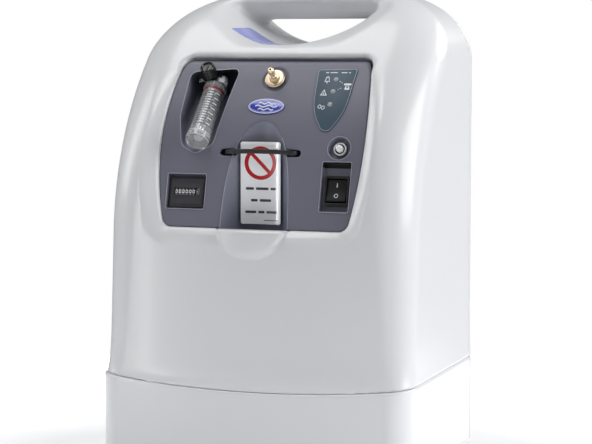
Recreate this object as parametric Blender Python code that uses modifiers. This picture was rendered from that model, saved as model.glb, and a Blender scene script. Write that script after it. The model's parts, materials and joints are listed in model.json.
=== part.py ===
"""Home oxygen concentrator: a free-standing cabinet on four castors.

Frame: origin on the floor under the middle of the cabinet, +Z up, the control
panel faces -Y and +X is to the right of a person who looks at the panel.
Every dimension below is in millimetres. Meshes are scaled to metres by MM.
"""

import math

import bmesh
import bpy
from mathutils import Matrix, Vector

MM = 0.001

# Cabinet
HALF_WIDTH = 190.5
REAR_Y = 152.5
HEIGHT = 584.0
WALL = 3.5
GAP = 0.3
SPLIT_Y = 124.0
SEAM_Z = 128.0
FOOT_Z = 30.0
FRONT_Y = -134.0
CREST_Y = 105.0
LEAN_START_Z = 300.0
BULGE = 8.0
BULGE_REACH = 165.0
SHOULDER_X = 65.5
SHOULDER_Z = 496.0
SHOULDER_RISE = HEIGHT - SHOULDER_Z
FAN_Z = 470.0
EDGE_RADIUS_LOW = 30.0
EDGE_RADIUS_HIGH = 60.0
EDGE_RADIUS_CROWN = 10.0
EDGE_RADIUS_LEAST = 6.0
REAR_RADIUS = 26.0
SKIRT_CORNER_Y = -145.0
SKIRT_RADIUS = 30.0
LEDGE_Z = SEAM_Z - 4.0
LEDGE_REACH = 20.0

# Hand hole: a smile-shaped scoop under a cross bar at the top
SMILE_LOW_Z = 517.0
SMILE_HALF = 100.0
SMILE_RISE = 55.0
SMILE_RADIUS = (SMILE_HALF**2 + SMILE_RISE**2) / (2 * SMILE_RISE)
BAR_LOW_Z = 549.5
BAR_FRONT_Y = 86.0
BAR_BACK_Y = 128.0
BAR_NOSE_Z = 572.0
BAR_FRONT_SLOPE = 26.0 / 22.5
BAR_BACK_SLOPE = 24.5 / 25.5

# Control panel surface, flat from side to side and curled from foot to head
PANEL_FOOT_Z = 300.0
PANEL_FOOT_Y = -129.5
PANEL_LEAN = 0.21
PANEL_CURL = 5.24e-6
PANEL_THICK = 3.0
PANEL_LOW_Z = 308.0
PANEL_HIGH_Z = 499.0
PANEL_HALF = 124.5
PANEL_WAIST_Z = 412.0
PANEL_TAPER = 0.00122
PANEL_TOP_RADIUS = 9.0
PANEL_FOOT_RADIUS = 8.5
FRAME_WALL = 4.0

# Humidifier bay
BAY_RADIUS = 41.2
BAY_AXIS_Y = -132.0
BAY_FLOOR_Z = 300.0
BAY_WALL = 2.5
CARD_SIZE = (49.0, 1.0, 95.0)
CARD_CENTRE = (0.0, -101.0, 358.7)
STRAP_Z = 395.0
STRAP_TALL = 5.0
STRAP_THICK = 2.5
STRAP_HALF = 41.0
STRAP_FRONT_Y = -107.8
STRAP_TAIL_Y = -94.0
SLOT_X = 39.0
SLOT_SIZE = (18.0, 7.0)

# Flowmeter
METER_TOP = Vector((-76.0, -52.0, 466.0))
METER_FOOT = Vector((-76.0, -113.0, 404.0))
METER_RADIUS = 13.5
METER_BACK = 16.0
METER_BAY = ((-104, 485), (-43, 489), (-60, 402), (-80, 392), (-98, 400), (-105.6, 434))
METER_BAY_RADII = (8, 6, 16, 12, 14, 40)
BORE_RADIUS = 5.0
FLOAT_RADIUS = 3.6
KNOB_RADIUS = 10.0
KNOB_AT = (-7.0, -11.0, 10.6)
SPIGOT_AT = (8.0, 12.0, 8.0)

# Panel devices: (x, z) of each centre on the panel surface
OUTLET_AT = (3.4, 477.0)
BADGE_AT = (-0.6, 446.0)
BADGE_SIZE = (45.0, 18.0)
BADGE_SIDES = 32
BREAKER_AT = (95.3, 400.5)
SWITCH_AT = (95.0, 357.3)
SWITCH_BAY = (34.0, 57.0, 7.0)
ROCKER_AT = (96.0, 353.8)
HOURS_AT = (-86.8, 348.5)
HOURS_BAY = (47.5, 40.5, 7.0)
WINDOW_OUTLINE = ((54, 488.5), (102.5, 489.6), (97, 441), (75.5, 411.5), (56.5, 441))
WINDOW_RADII = (2, 2, 60, 9, 60)
LAMPS_AT = ((78.0, 477.0), (77.4, 463.5), (76.8, 449.0))
LAMP_RADIUS = 3.0

# Castors
CASTOR_X = 150.0
CASTOR_Y = 108.0
CASTOR_TRAIL = 12.0
WHEEL_RADIUS = 20.0
WHEEL_WIDTH = 16.0
AXLE_RADIUS = 3.0
PAN_Z = 46.0

# Inside the cabinet
COMPRESSOR_Y = 20.0
COMPRESSOR_Z = 140.0
DECK_Z = 250.0
FAN_Y = -10.0
FAN_SIZE = 92.0
FAN_THICK = 24.0
FAN_WAY = 42.0
SOUND_BOX = (300.0, 150.0)
SOUND_BOX_LOW_Z = 52.0
SOUND_BOX_WALL = 4.0
MOUNT_Z = 66.0
HEAD_X = 78.0
HEAD_SIZE = (42.0, 60.0, 96.0)
SIEVE_X = 122.0
SIEVE_Y = 62.0
SIEVE_RADIUS = 36.0
TANK_Y = 78.0
TANK_RADIUS = 34.0
MANIFOLD_AT = (0.0, 72.0, 474.0)
MANIFOLD_SIZE = (110.0, 36.0, 34.0)
SPOOL_X = 34.0
SPOOL_RADIUS = 5.6
COIL_AT = (108.0, -28.0, 262.0)
COIL_RADIUS = 24.0
COIL_PITCH = 14.0
COIL_TUBE = 4.0
BOARD_AT = (104.0, -44.0, 395.0)
BOARD_SIZE = (104.0, 1.6, 120.0)
CAPACITOR_AT = (108.0, -96.0, 94.0)
INTAKE_FILTER_AT = (-108.0, -30.0, 0.0)
OUTLET_FILTER_AT = (10.0, -8.0, 440.0)
HOSE_RADIUS = 3.6

# Rear fittings
FILTER_AT = (0.0, 315.0)
FILTER_BAY = (160.0, 130.0)
FILTER_WAY = (140.0, 110.0)
EXHAUST_AT = (0.0, 105.0)
EXHAUST_BAY = (128.0, 58.0)
EXHAUST_WAY = (112.0, 42.0)
GLAND_AT = (128.0, 92.0)
GLAND_BAY = (44.0, 44.0)
GLAND_FLOOR_Y = 138.0
GLAND_HOLE = 8.6
LOUVRE_Y = 149.0
LOUVRE_THICK = 5.0
FOAM_Y = 143.2
FOAM_THICK = 5.5

PALETTE = {
    "white": ((0.72, 0.73, 0.74), 0.35, 0.0),
    "grey": ((0.13, 0.13, 0.16), 0.45, 0.0),
    "black": ((0.012, 0.012, 0.014), 0.35, 0.0),
    "rubber": ((0.02, 0.02, 0.02), 0.8, 0.0),
    "clear": ((0.8, 0.85, 0.88), 0.08, 0.0),
    "brass": ((0.65, 0.42, 0.16), 0.3, 1.0),
    "steel": ((0.6, 0.6, 0.6), 0.3, 1.0),
    "aluminium": ((0.7, 0.7, 0.71), 0.4, 1.0),
    "copper": ((0.7, 0.32, 0.18), 0.3, 1.0),
    "blue": ((0.03, 0.05, 0.35), 0.3, 0.0),
    "slate": ((0.05, 0.08, 0.12), 0.3, 0.0),
    "card": ((0.75, 0.76, 0.8), 0.3, 0.0),
    "lamp": ((0.35, 0.36, 0.38), 0.3, 0.0),
    "foam": ((0.05, 0.05, 0.06), 0.9, 0.0),
    "board": ((0.02, 0.16, 0.06), 0.5, 0.0),
}

WORLD = Matrix.Identity(4)
TURNS = {
    "X": Matrix.Rotation(math.pi / 2, 4, "Y"),
    "Y": Matrix.Rotation(-math.pi / 2, 4, "X"),
    "Z": WORLD,
}

for old in list(bpy.data.objects):
    bpy.data.objects.remove(old, do_unlink=True)
parts = bpy.data.collections.new("oxygen_concentrator")
cutters = bpy.data.collections.new("cutters")
bpy.context.scene.collection.children.link(parts)
bpy.context.scene.collection.children.link(cutters)


# ---------------------------------------------------------------- helpers


def in_metres(frame):
    """A frame whose shift is in millimetres, as a matrix in metres."""
    placed = frame.copy()
    placed.translation = placed.translation * MM
    return placed


def add_object(name, data, frame, look):
    obj = bpy.data.objects.new(name, data)
    obj.matrix_world = in_metres(frame)
    if look is None:
        cutters.objects.link(obj)
        obj.hide_render = True
        obj.display_type = "WIRE"
        return obj
    parts.objects.link(obj)
    colour, roughness, metallic = PALETTE[look]
    material = bpy.data.materials.new(name)
    material.use_nodes = True
    shader = material.node_tree.nodes["Principled BSDF"]
    shader.inputs["Base Color"].default_value = (*colour, 1.0)
    shader.inputs["Roughness"].default_value = roughness
    shader.inputs["Metallic"].default_value = metallic
    obj.data.materials.append(material)
    return obj


def add_mesh(name, bm, frame=WORLD, look=None):
    bmesh.ops.scale(bm, vec=(MM, MM, MM), verts=bm.verts)
    bmesh.ops.recalc_face_normals(bm, faces=bm.faces)
    mesh = bpy.data.meshes.new(name)
    bm.to_mesh(mesh)
    bm.free()
    mesh.shade_smooth()
    mesh.set_sharp_from_angle(angle=math.radians(35))
    return add_object(name, mesh, frame, look)


def block(name, size, centre=(0, 0, 0), frame=WORLD, look=None):
    bm = bmesh.new()
    placed = Matrix.Translation(centre) @ Matrix.Diagonal((*size, 1.0))
    bmesh.ops.create_cube(bm, size=1.0, matrix=placed)
    return add_mesh(name, bm, frame, look)


def cylinder(name, radius, length, centre=(0, 0, 0), axis="Z", frame=WORLD, look=None, sides=24):
    bm = bmesh.new()
    bmesh.ops.create_cone(
        bm,
        cap_ends=True,
        segments=sides,
        radius1=radius,
        radius2=radius,
        depth=length,
        matrix=Matrix.Translation(centre) @ TURNS[axis],
    )
    return add_mesh(name, bm, frame, look)


def prism(name, outline, low, high, axis="Y", frame=WORLD, look=None):
    """A flat outline pushed along one axis. low and high are numbers or functions of (u, v)."""
    order = {"X": (2, 0, 1), "Y": (0, 2, 1), "Z": (0, 1, 2)}[axis]

    def point(u, v, depth):
        values = (u, v, depth(u, v) if callable(depth) else depth)
        return Vector([values[i] for i in order])

    bm = bmesh.new()
    floor = [bm.verts.new(point(u, v, low)) for u, v in outline]
    base = bm.faces.new(floor)
    pushed = bmesh.ops.extrude_face_region(bm, geom=[base])["geom"]
    lifted = [item for item in pushed if isinstance(item, bmesh.types.BMVert)]
    for vert, (u, v) in zip(lifted, matching(lifted, outline, order)):
        vert.co = point(u, v, high)
    return add_mesh(name, bm, frame, look)


def matching(verts, outline, order):
    """The outline point that each extruded vertex came from."""
    found = []
    for vert in verts:
        u = vert.co[order.index(0)]
        v = vert.co[order.index(1)]
        found.append(min(outline, key=lambda p: (p[0] - u) ** 2 + (p[1] - v) ** 2))
    return found


def turned(name, profile, frame=WORLD, look=None, sides=24):
    """A profile of (radius, height) points, top to bottom on its outer side, turned about Z."""
    mesh = bpy.data.meshes.new(name)
    points = [(radius * MM, 0.0, height * MM) for radius, height in profile]
    count = len(points)
    edges = [(i, (i + 1) % count) for i in range(count)]
    off_axis = [(a, b) for a, b in edges if profile[a][0] > 0 or profile[b][0] > 0]
    mesh.from_pydata(points, off_axis, [])
    obj = add_object(name, mesh, frame, look)
    screw = obj.modifiers.new("turn", "SCREW")
    screw.steps = sides
    screw.render_steps = sides
    screw.use_merge_vertices = True
    screw.merge_threshold = 1e-5
    screw.use_smooth_shade = True
    return obj


def pipe(name, points, radius, look, frame=WORLD, resolution=2):
    curve = bpy.data.curves.new(name, "CURVE")
    curve.dimensions = "3D"
    curve.bevel_depth = radius * MM
    curve.bevel_resolution = resolution
    curve.use_fill_caps = True
    spline = curve.splines.new("POLY")
    spline.points.add(len(points) - 1)
    for slot, point in zip(spline.points, points):
        slot.co = (*(Vector(point) * MM), 1.0)
    return add_object(name, curve, frame, look)


def smooth_route(knots, steps):
    """Points on a Catmull-Rom curve through the knots."""
    ends = [Vector(knots[0]), *map(Vector, knots), Vector(knots[-1])]
    route = []
    for a, b, c, d in zip(ends, ends[1:], ends[2:], ends[3:]):
        for step in range(steps):
            t = step / steps
            route.append(
                0.5 * (2 * b + (c - a) * t + (2 * a - 5 * b + 4 * c - d) * t**2)
                + 0.5 * (3 * b - a - 3 * c + d) * t**3
            )
    route.append(ends[-1])
    return route


def boolean(target, operation, *tools):
    for tool in tools:
        step = target.modifiers.new(tool.name, "BOOLEAN")
        step.operation = operation
        step.solver = "EXACT"
        step.object = tool
    return target


def cut(target, *tools):
    return boolean(target, "DIFFERENCE", *tools)


def join(target, *tools):
    return boolean(target, "UNION", *tools)


def keep(target, *tools):
    return boolean(target, "INTERSECT", *tools)


def bevelled(obj, width, segments=2, angle=40):
    step = obj.modifiers.new("edges", "BEVEL")
    step.width = width * MM
    step.segments = segments
    step.limit_method = "ANGLE"
    step.angle_limit = math.radians(angle)
    return obj


def settled(obj):
    """The evaluated mesh of an object, so that copies can share it."""
    bpy.context.view_layer.update()
    graph = bpy.context.evaluated_depsgraph_get()
    mesh = bpy.data.meshes.new_from_object(obj.evaluated_get(graph))
    mesh.name = obj.name
    return mesh


def rounded(corners, radii, steps=4):
    """An outline with each corner replaced by an arc of its own radius."""
    outline = []
    count = len(corners)
    for i, corner in enumerate(corners):
        here = Vector(corner)
        before = (Vector(corners[i - 1]) - here).normalized()
        after = (Vector(corners[(i + 1) % count]) - here).normalized()
        half = before.angle(after) / 2
        radius = radii[i]
        if radius <= 0:
            outline.append(tuple(here))
            continue
        middle = here + (before + after).normalized() * (radius / math.sin(half))
        start = here + before * (radius / math.tan(half)) - middle
        end = here + after * (radius / math.tan(half)) - middle
        for step in range(steps + 1):
            spoke = start.slerp(end, step / steps, start)
            outline.append(tuple(middle + spoke.normalized() * radius))
    return outline


# ---------------------------------------------------------------- surfaces


def lean(z, top):
    """How far the front has leaned back at a height: 0 on the upright part, 1 at the crest."""
    rise = min(max((z - LEAN_START_Z) / (top - LEAN_START_Z), 0.0), 1.0)
    return 1.0 - (1.0 - rise**2) ** (2.0 / 3.0)


def front_y(x, z, inset=0.0):
    tilt = lean(z, HEIGHT - inset)
    swell = BULGE * max(0.0, 1.0 - (x / BULGE_REACH) ** 2) * (1.0 - tilt)
    return FRONT_Y + (CREST_Y - FRONT_Y) * tilt - swell + inset


def panel_y(z):
    rise = z - PANEL_FOOT_Z
    return PANEL_FOOT_Y + PANEL_LEAN * rise + PANEL_CURL * rise**3


def panel_frame(at, out=0.0):
    """Local X to the right, Y up along the panel and Z out of its surface."""
    x, z = at
    slope = PANEL_LEAN + 3 * PANEL_CURL * (z - PANEL_FOOT_Z) ** 2
    side = Vector((1, 0, 0))
    up = Vector((0, slope, 1)).normalized()
    outward = side.cross(up)
    frame = Matrix((side, up, outward)).transposed().to_4x4()
    frame.translation = Vector((x, panel_y(z), z)) + outward * out
    return frame


def side_outline(foot, inset):
    """Right half of the front view, from the foot up the side and over to the crown's middle."""
    side_heights = (foot, 180, 250, 300, 345, 390, 430, 465)
    half = HALF_WIDTH - inset
    points = [(half, z, 0.0) for z in side_heights if z >= foot]
    steps = 8
    for step in range(steps + 1):
        turn = math.pi / 2 * step / steps
        x = SHOULDER_X + (half - SHOULDER_X) * math.cos(turn)
        z = SHOULDER_Z + (SHOULDER_RISE - inset) * math.sin(turn)
        points.append((x, z, turn))
    top = HEIGHT - inset
    points.append((SHOULDER_X / 2, top, math.pi / 2))
    points.append((0.0, top, math.pi / 2))
    return points


def edge_radius(z, turn):
    rise = min(max((z - 150.0) / (SHOULDER_Z - 150.0), 0.0), 1.0)
    low = EDGE_RADIUS_LOW + (EDGE_RADIUS_HIGH - EDGE_RADIUS_LOW) * rise
    return low * math.cos(turn) ** 2 + EDGE_RADIUS_CROWN * math.sin(turn) ** 2


def front_line(x, z, turn, inset, end_y):
    """One line of the cabinet's skin, from its spine over the face and edge to the wall's end.

    turn is how far along the shoulder's quarter ellipse the point (x, z) is, in radians.
    """
    radius = max(edge_radius(z, turn) - inset, EDGE_RADIUS_LEAST)
    spine = Vector((0.0, min(z, FAN_Z)))
    rim = Vector((x, z))
    inward = (spine - rim).normalized() if (spine - rim).length > 1e-6 else Vector((0, -1))
    start = rim + inward * radius
    line = []
    for share in (0.0, 0.3, 0.6, 0.85):
        spot = spine.lerp(start, share)
        line.append((spot.x, front_y(spot.x, spot.y, inset), spot.y))
    for degrees in (90, 60, 30, 0):
        angle = math.radians(degrees)
        spot = rim + inward * radius * (1 - math.cos(angle))
        y = front_y(spot.x, spot.y, inset) + radius * (1 - math.sin(angle))
        line.append((spot.x, min(y, end_y - 1.0), spot.y))
    line.append((rim.x, end_y, rim.y))
    line.append((spine.x, end_y, spine.y))
    return line


def rear_line(x, z, turn, inset, start_y):
    """The same for the rear shell, whose edge has one radius at every turn."""
    radius = REAR_RADIUS - inset
    back = REAR_Y - inset
    spine = Vector((0.0, min(z, FAN_Z)))
    rim = Vector((x, z))
    inward = (spine - rim).normalized()
    line = [(spine.x, start_y, spine.y), (rim.x, start_y, rim.y)]
    for degrees in (0, 30, 60, 90):
        angle = math.radians(degrees)
        spot = rim + inward * radius * (1 - math.cos(angle))
        line.append((spot.x, back - radius * (1 - math.sin(angle)), spot.y))
    line.append((spine.x, back, spine.y))
    return line


def skin_solid(name, line_of, foot, inset, end_y, look=None):
    """A closed half body lofted from lines of skin, mirrored about the middle."""
    rows = [line_of(x, z, turn, inset, end_y) for x, z, turn in side_outline(foot, inset)]
    bm = bmesh.new()
    grid = [[bm.verts.new(point) for point in row] for row in rows]
    for low, high in zip(grid, grid[1:]):
        for i in range(len(low) - 1):
            bm.faces.new((low[i], low[i + 1], high[i + 1], high[i]))
    bm.faces.new(grid[0])
    bmesh.ops.remove_doubles(bm, verts=bm.verts, dist=0.001)
    bmesh.ops.dissolve_degenerate(bm, dist=0.001, edges=bm.edges)
    obj = add_mesh(name, bm, WORLD, look)
    mirror = obj.modifiers.new("mirror", "MIRROR")
    mirror.merge_threshold = 1e-5
    return obj


def smile(grow, top):
    """The hand hole's front view: an arc below and a flat top."""
    radius = SMILE_RADIUS + grow
    centre_z = SMILE_LOW_Z + SMILE_RADIUS
    reach = math.acos((centre_z - top) / radius)
    steps = 16
    points = []
    for step in range(steps + 1):
        angle = reach * (2 * step / steps - 1)
        points.append((radius * math.sin(angle), centre_z - radius * math.cos(angle)))
    return points


def hand_hole(name, grow):
    """The scoop, the way under the bar and the rear scoop as one solid, swollen by grow."""
    nose = BAR_NOSE_Z + grow
    low = BAR_LOW_Z + grow
    front = BAR_FRONT_Y + grow * 1.4
    back = BAR_BACK_Y - grow * 1.4
    run_front = (nose - low) * BAR_FRONT_SLOPE
    run_back = (nose - low) * BAR_BACK_SLOPE
    roof = [(-120, nose), (front - run_front, nose), (front, low), (back, low)]
    roof += [(back + run_back, nose), (200, nose), (200, 480), (-120, 480)]
    hole = prism(name, smile(grow, nose), -110, 190)
    return keep(hole, prism(name + "_roof", roof, -150, 150, "X"))


def panel_outline(grow):
    """The control panel's front view: barrel sides and four round corners."""
    heights = (330, 360, 390, 420, 450, 478)

    def half(z):
        return PANEL_HALF - PANEL_TAPER * (z - PANEL_WAIST_Z) ** 2 + grow

    low = PANEL_LOW_Z - grow
    high = PANEL_HIGH_Z + grow
    right = [(half(z), z) for z in heights]
    corners = [(half(low), low), *right, (half(high), high)]
    radii = [PANEL_FOOT_RADIUS + grow, *[0] * len(right), PANEL_TOP_RADIUS + grow]
    mirrored = [(-x, z) for x, z in reversed(corners)]
    return rounded([*corners, *mirrored], [*radii, *reversed(radii)])


def profile_slab(name, out_front, out_back, half=150.0):
    """A slab that follows the panel's curl. Offsets run along Y: negative is in front of it."""
    heights = [280 + 12.5 * i for i in range(20)]
    face = [(panel_y(z) + out_front, z) for z in heights]
    if callable(out_back):
        back = [(out_back(z), z) for z in reversed(heights)]
    else:
        back = [(panel_y(z) + out_back, z) for z in reversed(heights)]
    return prism(name, face + back, -half, half, axis="X")


# ---------------------------------------------------------------- cabinet


def build_cabinet():
    hole = hand_hole("hand_hole", 0.0)
    hole_walls = hand_hole("hand_hole_wall", WALL)

    opening = prism("panel_opening", panel_outline(0.4), -200, -10)
    opening_frame = prism("panel_frame_outer", panel_outline(FRAME_WALL), -200, -10)
    keep(opening_frame, profile_slab("panel_frame_depth", -70, 2.0, 160))

    void = skin_solid("front_void", front_line, SEAM_Z - 20, WALL, SPLIT_Y + 20)
    cut(void, hole_walls, opening_frame)
    bay_clearance = cylinder(
        "bay_clearance", BAY_RADIUS + BAY_WALL + 0.5, 60, (0, BAY_AXIS_Y, BAY_FLOOR_Z + 27), sides=48
    )
    keep(bay_clearance, profile_slab("behind_lip", -0.5, lambda z: 60.0))
    front = skin_solid("front_cabinet", front_line, SEAM_Z, 0.0, SPLIT_Y, "white")
    cut(front, void, hole, opening, bay_clearance)

    rear_void = skin_solid("rear_void", rear_line, FOOT_Z - 20, WALL, SPLIT_Y - 20)
    pockets = [
        ("filter_bay", FILTER_BAY, FILTER_AT, 140.0, FILTER_WAY),
        ("exhaust_bay", EXHAUST_BAY, EXHAUST_AT, 146.0, EXHAUST_WAY),
        ("gland_bay", GLAND_BAY, GLAND_AT, GLAND_FLOOR_Y, None),
    ]
    cuts = []
    walls = []
    for name, (wide, tall), (x, z), floor_y, through in pockets:
        depth = 200 - floor_y
        middle = floor_y + depth / 2
        cuts.append(block(name, (wide, depth, tall), (x, middle, z)))
        walls.append(
            block(name + "_walls", (wide + 6, depth + 3, tall + 6), (x, middle - 1.5, z))
        )
        if through:
            wide_in, tall_in = through
            cuts.append(block(name + "_way", (wide_in, 100, tall_in), (x, 150, z)))
    cuts.append(cylinder("gland_hole", GLAND_HOLE, 60, (GLAND_AT[0], 140, GLAND_AT[1]), "Y"))
    cut(rear_void, hole_walls, *walls)
    rear = skin_solid("rear_cabinet", rear_line, FOOT_Z, 0.0, SPLIT_Y + GAP, "white")
    cut(rear, rear_void, hole, *cuts)


def skirt_plan(inset, rear_y):
    """Plan outline of the skirt: a bowed front between two round corners."""
    half = HALF_WIDTH - inset
    front = SKIRT_CORNER_Y + inset
    radius = SKIRT_RADIUS - inset
    reach = half - radius
    steps = 8
    bow = []
    for step in range(1, steps):
        x = -reach + 2 * reach * step / steps
        bow.append((x, front - (REAR_Y + SKIRT_CORNER_Y) * (1 - (x / reach) ** 2)))
    corners = [(-half, rear_y), (-half, front), *bow, (half, front), (half, rear_y)]
    radii = [0, radius, *[0] * len(bow), radius, 0]
    return rounded(corners, radii)


def build_base():
    skirt = prism(
        "base_skirt", skirt_plan(0, SPLIT_Y), FOOT_Z, SEAM_Z - GAP, axis="Z", look="white"
    )
    void = prism("skirt_void", skirt_plan(WALL, SPLIT_Y + 30), FOOT_Z - 10, LEDGE_Z, "Z")
    mouth = prism("skirt_mouth", skirt_plan(LEDGE_REACH, SPLIT_Y + 40), LEDGE_Z - 5, SEAM_Z + 20, "Z")
    cut(skirt, void, mouth)

    reach_x = 181.0
    front = -132.0
    back = 118.0
    corners = [(-reach_x, back), (-reach_x, front), (reach_x, front), (reach_x, back)]
    inner = [(-reach_x + 1.5, back - 1.5), (-reach_x + 1.5, front + 1.5)]
    inner += [(-x, y) for x, y in reversed(inner)]
    pan = prism("base_pan", rounded(corners, [22] * 4), PAN_Z, PAN_Z + 14, "Z", look="steel")
    cut(pan, prism("pan_void", rounded(inner, [20.5] * 4), PAN_Z + 2.5, PAN_Z + 30, "Z"))
    for x in (-CASTOR_X, CASTOR_X):
        for y in (-CASTOR_Y, CASTOR_Y):
            cut(pan, cylinder("stem_hole", 5.3, 30, (x, y, PAN_Z), sides=16))


def build_castors():
    ear_x = 11.0
    ear = block("castor_ears", (27, 20, 34), (0, CASTOR_TRAIL * 0.8, 27))
    cut(ear, block("castor_fork", (19, 60, 60), (0, 0, 41.5 - 30)))
    cut(ear, cylinder("castor_eye", AXLE_RADIUS + 0.3, 60, (0, CASTOR_TRAIL, WHEEL_RADIUS), "X"))
    swivel = turned(
        "castor_yoke_pattern",
        [(0, 62), (4.5, 62), (4.5, 45.6), (15, 45.6), (17, 44), (17, 41.5), (0, 41.5)],
        sides=20,
    )
    join(swivel, ear)
    yoke_mesh = settled(swivel)
    half = WHEEL_WIDTH / 2
    wheel = turned(
        "castor_wheel_pattern",
        [
            (AXLE_RADIUS + 0.3, half),
            (WHEEL_RADIUS - 2, half),
            (WHEEL_RADIUS, half - 3),
            (WHEEL_RADIUS, -half + 3),
            (WHEEL_RADIUS - 2, -half),
            (AXLE_RADIUS + 0.3, -half),
        ],
        sides=28,
    )
    wheel_mesh = settled(wheel)
    for old in (swivel, wheel):
        bpy.data.objects.remove(old, do_unlink=True)
    for front_back, y in (("front", -CASTOR_Y), ("rear", CASTOR_Y)):
        for side, x in (("left", -CASTOR_X), ("right", CASTOR_X)):
            place = f"{front_back}_{side}"
            swivel_frame = Matrix.Translation((x, y, 0))
            add_object("castor_yoke_" + place, yoke_mesh.copy(), swivel_frame, "black")
            hub = Matrix.Translation((x, y + CASTOR_TRAIL, WHEEL_RADIUS)) @ TURNS["X"]
            add_object("castor_wheel_" + place, wheel_mesh.copy(), hub, "rubber")
            cylinder(
                "castor_axle_" + place,
                AXLE_RADIUS,
                2 * ear_x + 6,
                frame=hub,
                look="steel",
                sides=16,
            )


# ---------------------------------------------------------------- panel


def meter_bay(grow):
    outline = rounded(METER_BAY, METER_BAY_RADII, 3)
    if grow:
        middle = Vector((-78.0, 442.0))
        outline = [
            tuple(Vector(p) + (Vector(p) - middle).normalized() * grow) for p in outline
        ]
    return outline


def meter_back(z, grow):
    """Back plane of the flowmeter's bay, parallel to the sloping tube."""
    along = (METER_TOP - METER_FOOT).normalized()
    reach = METER_BACK + grow
    start = METER_FOOT + Vector((0, along.z, -along.y)) * reach
    return start.y + (z - start.z) * along.y / along.z


def build_panel():
    panel = prism("control_panel", panel_outline(0.0), -180, -10, look="grey")
    keep(panel, profile_slab("panel_skin", 0.0, PANEL_THICK))

    bay_tall = 130.0
    bay_outer = cylinder(
        "bay_outer",
        BAY_RADIUS + BAY_WALL,
        bay_tall,
        (0, BAY_AXIS_Y, BAY_FLOOR_Z - BAY_WALL + bay_tall / 2),
        sides=48,
    )
    meter_outer = prism("meter_bay_outer", meter_bay(BAY_WALL), -180, lambda x, z: meter_back(z, 2.5))
    wells = []
    inners = []
    for name, at, (wide, tall, deep) in (
        ("switch_bay", SWITCH_AT, SWITCH_BAY),
        ("hours_bay", HOURS_AT, HOURS_BAY),
    ):
        frame = panel_frame(at)
        wells.append(block(name + "_outer", (wide + 5, tall + 5, deep + 12), (0, 0, -deep / 2 + 4), frame))
        inners.append(block(name + "_inner", (wide, tall, 30), (0, 0, 15 - deep), frame))
    frame = panel_frame(BREAKER_AT)
    wells.append(cylinder("breaker_bay_outer", 15.5, 16, (0, 0, 0), frame=frame))
    join(bay_outer, meter_outer, *wells)
    keep(bay_outer, profile_slab("panel_behind", 0.0, lambda z: 60.0))
    join(panel, bay_outer)

    cut(
        panel,
        *inners,
        cylinder("bay_inner", BAY_RADIUS, 200, (0, BAY_AXIS_Y, BAY_FLOOR_Z + 100), sides=48),
        prism("meter_bay_inner", meter_bay(0.0), -190, lambda x, z: meter_back(z, 0.0)),
        cylinder("knob_way", KNOB_RADIUS + 1, 60, KNOB_AT, "Y", meter_frame()),
        cylinder("spigot_way", 4.6, 30, SPIGOT_AT, "Y", meter_frame(), sides=16),
        block("switch_way", (27.6, 33.6, 80), (0, 0, 0), panel_frame(ROCKER_AT)),
        block("hours_way", (40.6, 28.6, 80), (0, 0, 0), panel_frame(HOURS_AT)),
        cylinder("breaker_bay_inner", 13.5, 30, (0, 0, 15 - 5), frame=panel_frame(BREAKER_AT)),
        cylinder("breaker_way", 6.3, 80, frame=panel_frame(BREAKER_AT)),
        cylinder("outlet_way", 5.6, 40, frame=panel_frame(OUTLET_AT)),
        block("slot_left", (SLOT_SIZE[0], 60, SLOT_SIZE[1]), (-SLOT_X, -100, STRAP_Z)),
        block("slot_right", (SLOT_SIZE[0], 60, SLOT_SIZE[1]), (SLOT_X, -100, STRAP_Z)),
    )


def panel_film(name, outline, look, thick):
    """A thin film on the curled panel."""
    film = prism(name, outline, -180, -10, look=look)
    return keep(film, profile_slab(name + "_sheet", -GAP - thick, -GAP))


def build_panel_trim():
    panel_film("indicator_window", rounded(WINDOW_OUTLINE, WINDOW_RADII, 4), "slate", 0.8)
    for name, at in zip(("alarm", "caution", "purity"), LAMPS_AT):
        cut_frame = panel_frame(at)
        cut(bpy.data.objects["indicator_window"], cylinder("lamp_way_" + name, 3.4, 8, frame=cut_frame))
        cylinder("lamp_" + name, LAMP_RADIUS, 1.8, (0, 0, 1.4), frame=cut_frame, look="lamp", sides=20)
    wide, tall = BADGE_SIZE
    x, z = BADGE_AT
    turns = [2 * math.pi * step / BADGE_SIDES for step in range(BADGE_SIDES)]
    oval = [(x + wide / 2 * math.cos(turn), z + tall / 2 * math.sin(turn)) for turn in turns]
    panel_film("panel_badge", oval, "blue", 1.0)

    block("notice_card", CARD_SIZE, CARD_CENTRE, look="card")
    outer = STRAP_HALF
    inner = STRAP_HALF - STRAP_THICK
    strap_plan = [
        (-outer, STRAP_TAIL_Y),
        (-outer, STRAP_FRONT_Y + 2),
        (-outer + 2, STRAP_FRONT_Y),
        (outer - 2, STRAP_FRONT_Y),
        (outer, STRAP_FRONT_Y + 2),
        (outer, STRAP_TAIL_Y),
        (inner, STRAP_TAIL_Y),
        (inner, STRAP_FRONT_Y + STRAP_THICK),
        (-inner, STRAP_FRONT_Y + STRAP_THICK),
        (-inner, STRAP_TAIL_Y),
    ]
    low = STRAP_Z - STRAP_TALL / 2
    prism("retention_strap", strap_plan, low, low + STRAP_TALL, "Z", look="black")

    handle_badge = prism("handle_badge", crescent_band(), -60, 60, look="blue")
    plan = [
        (-8, -24),
        (-24, -23),
        (-44, -15),
        (-60, -4),
        (-72, 10),
        (-69, 22),
        (-66, 33),
        (-61, 37),
        (-54, 36),
        (-44, 30),
        (-31, 17),
        (-17, -1),
    ]
    keep(handle_badge, prism("badge_plan", plan, 500, 580, "Z"))


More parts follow.
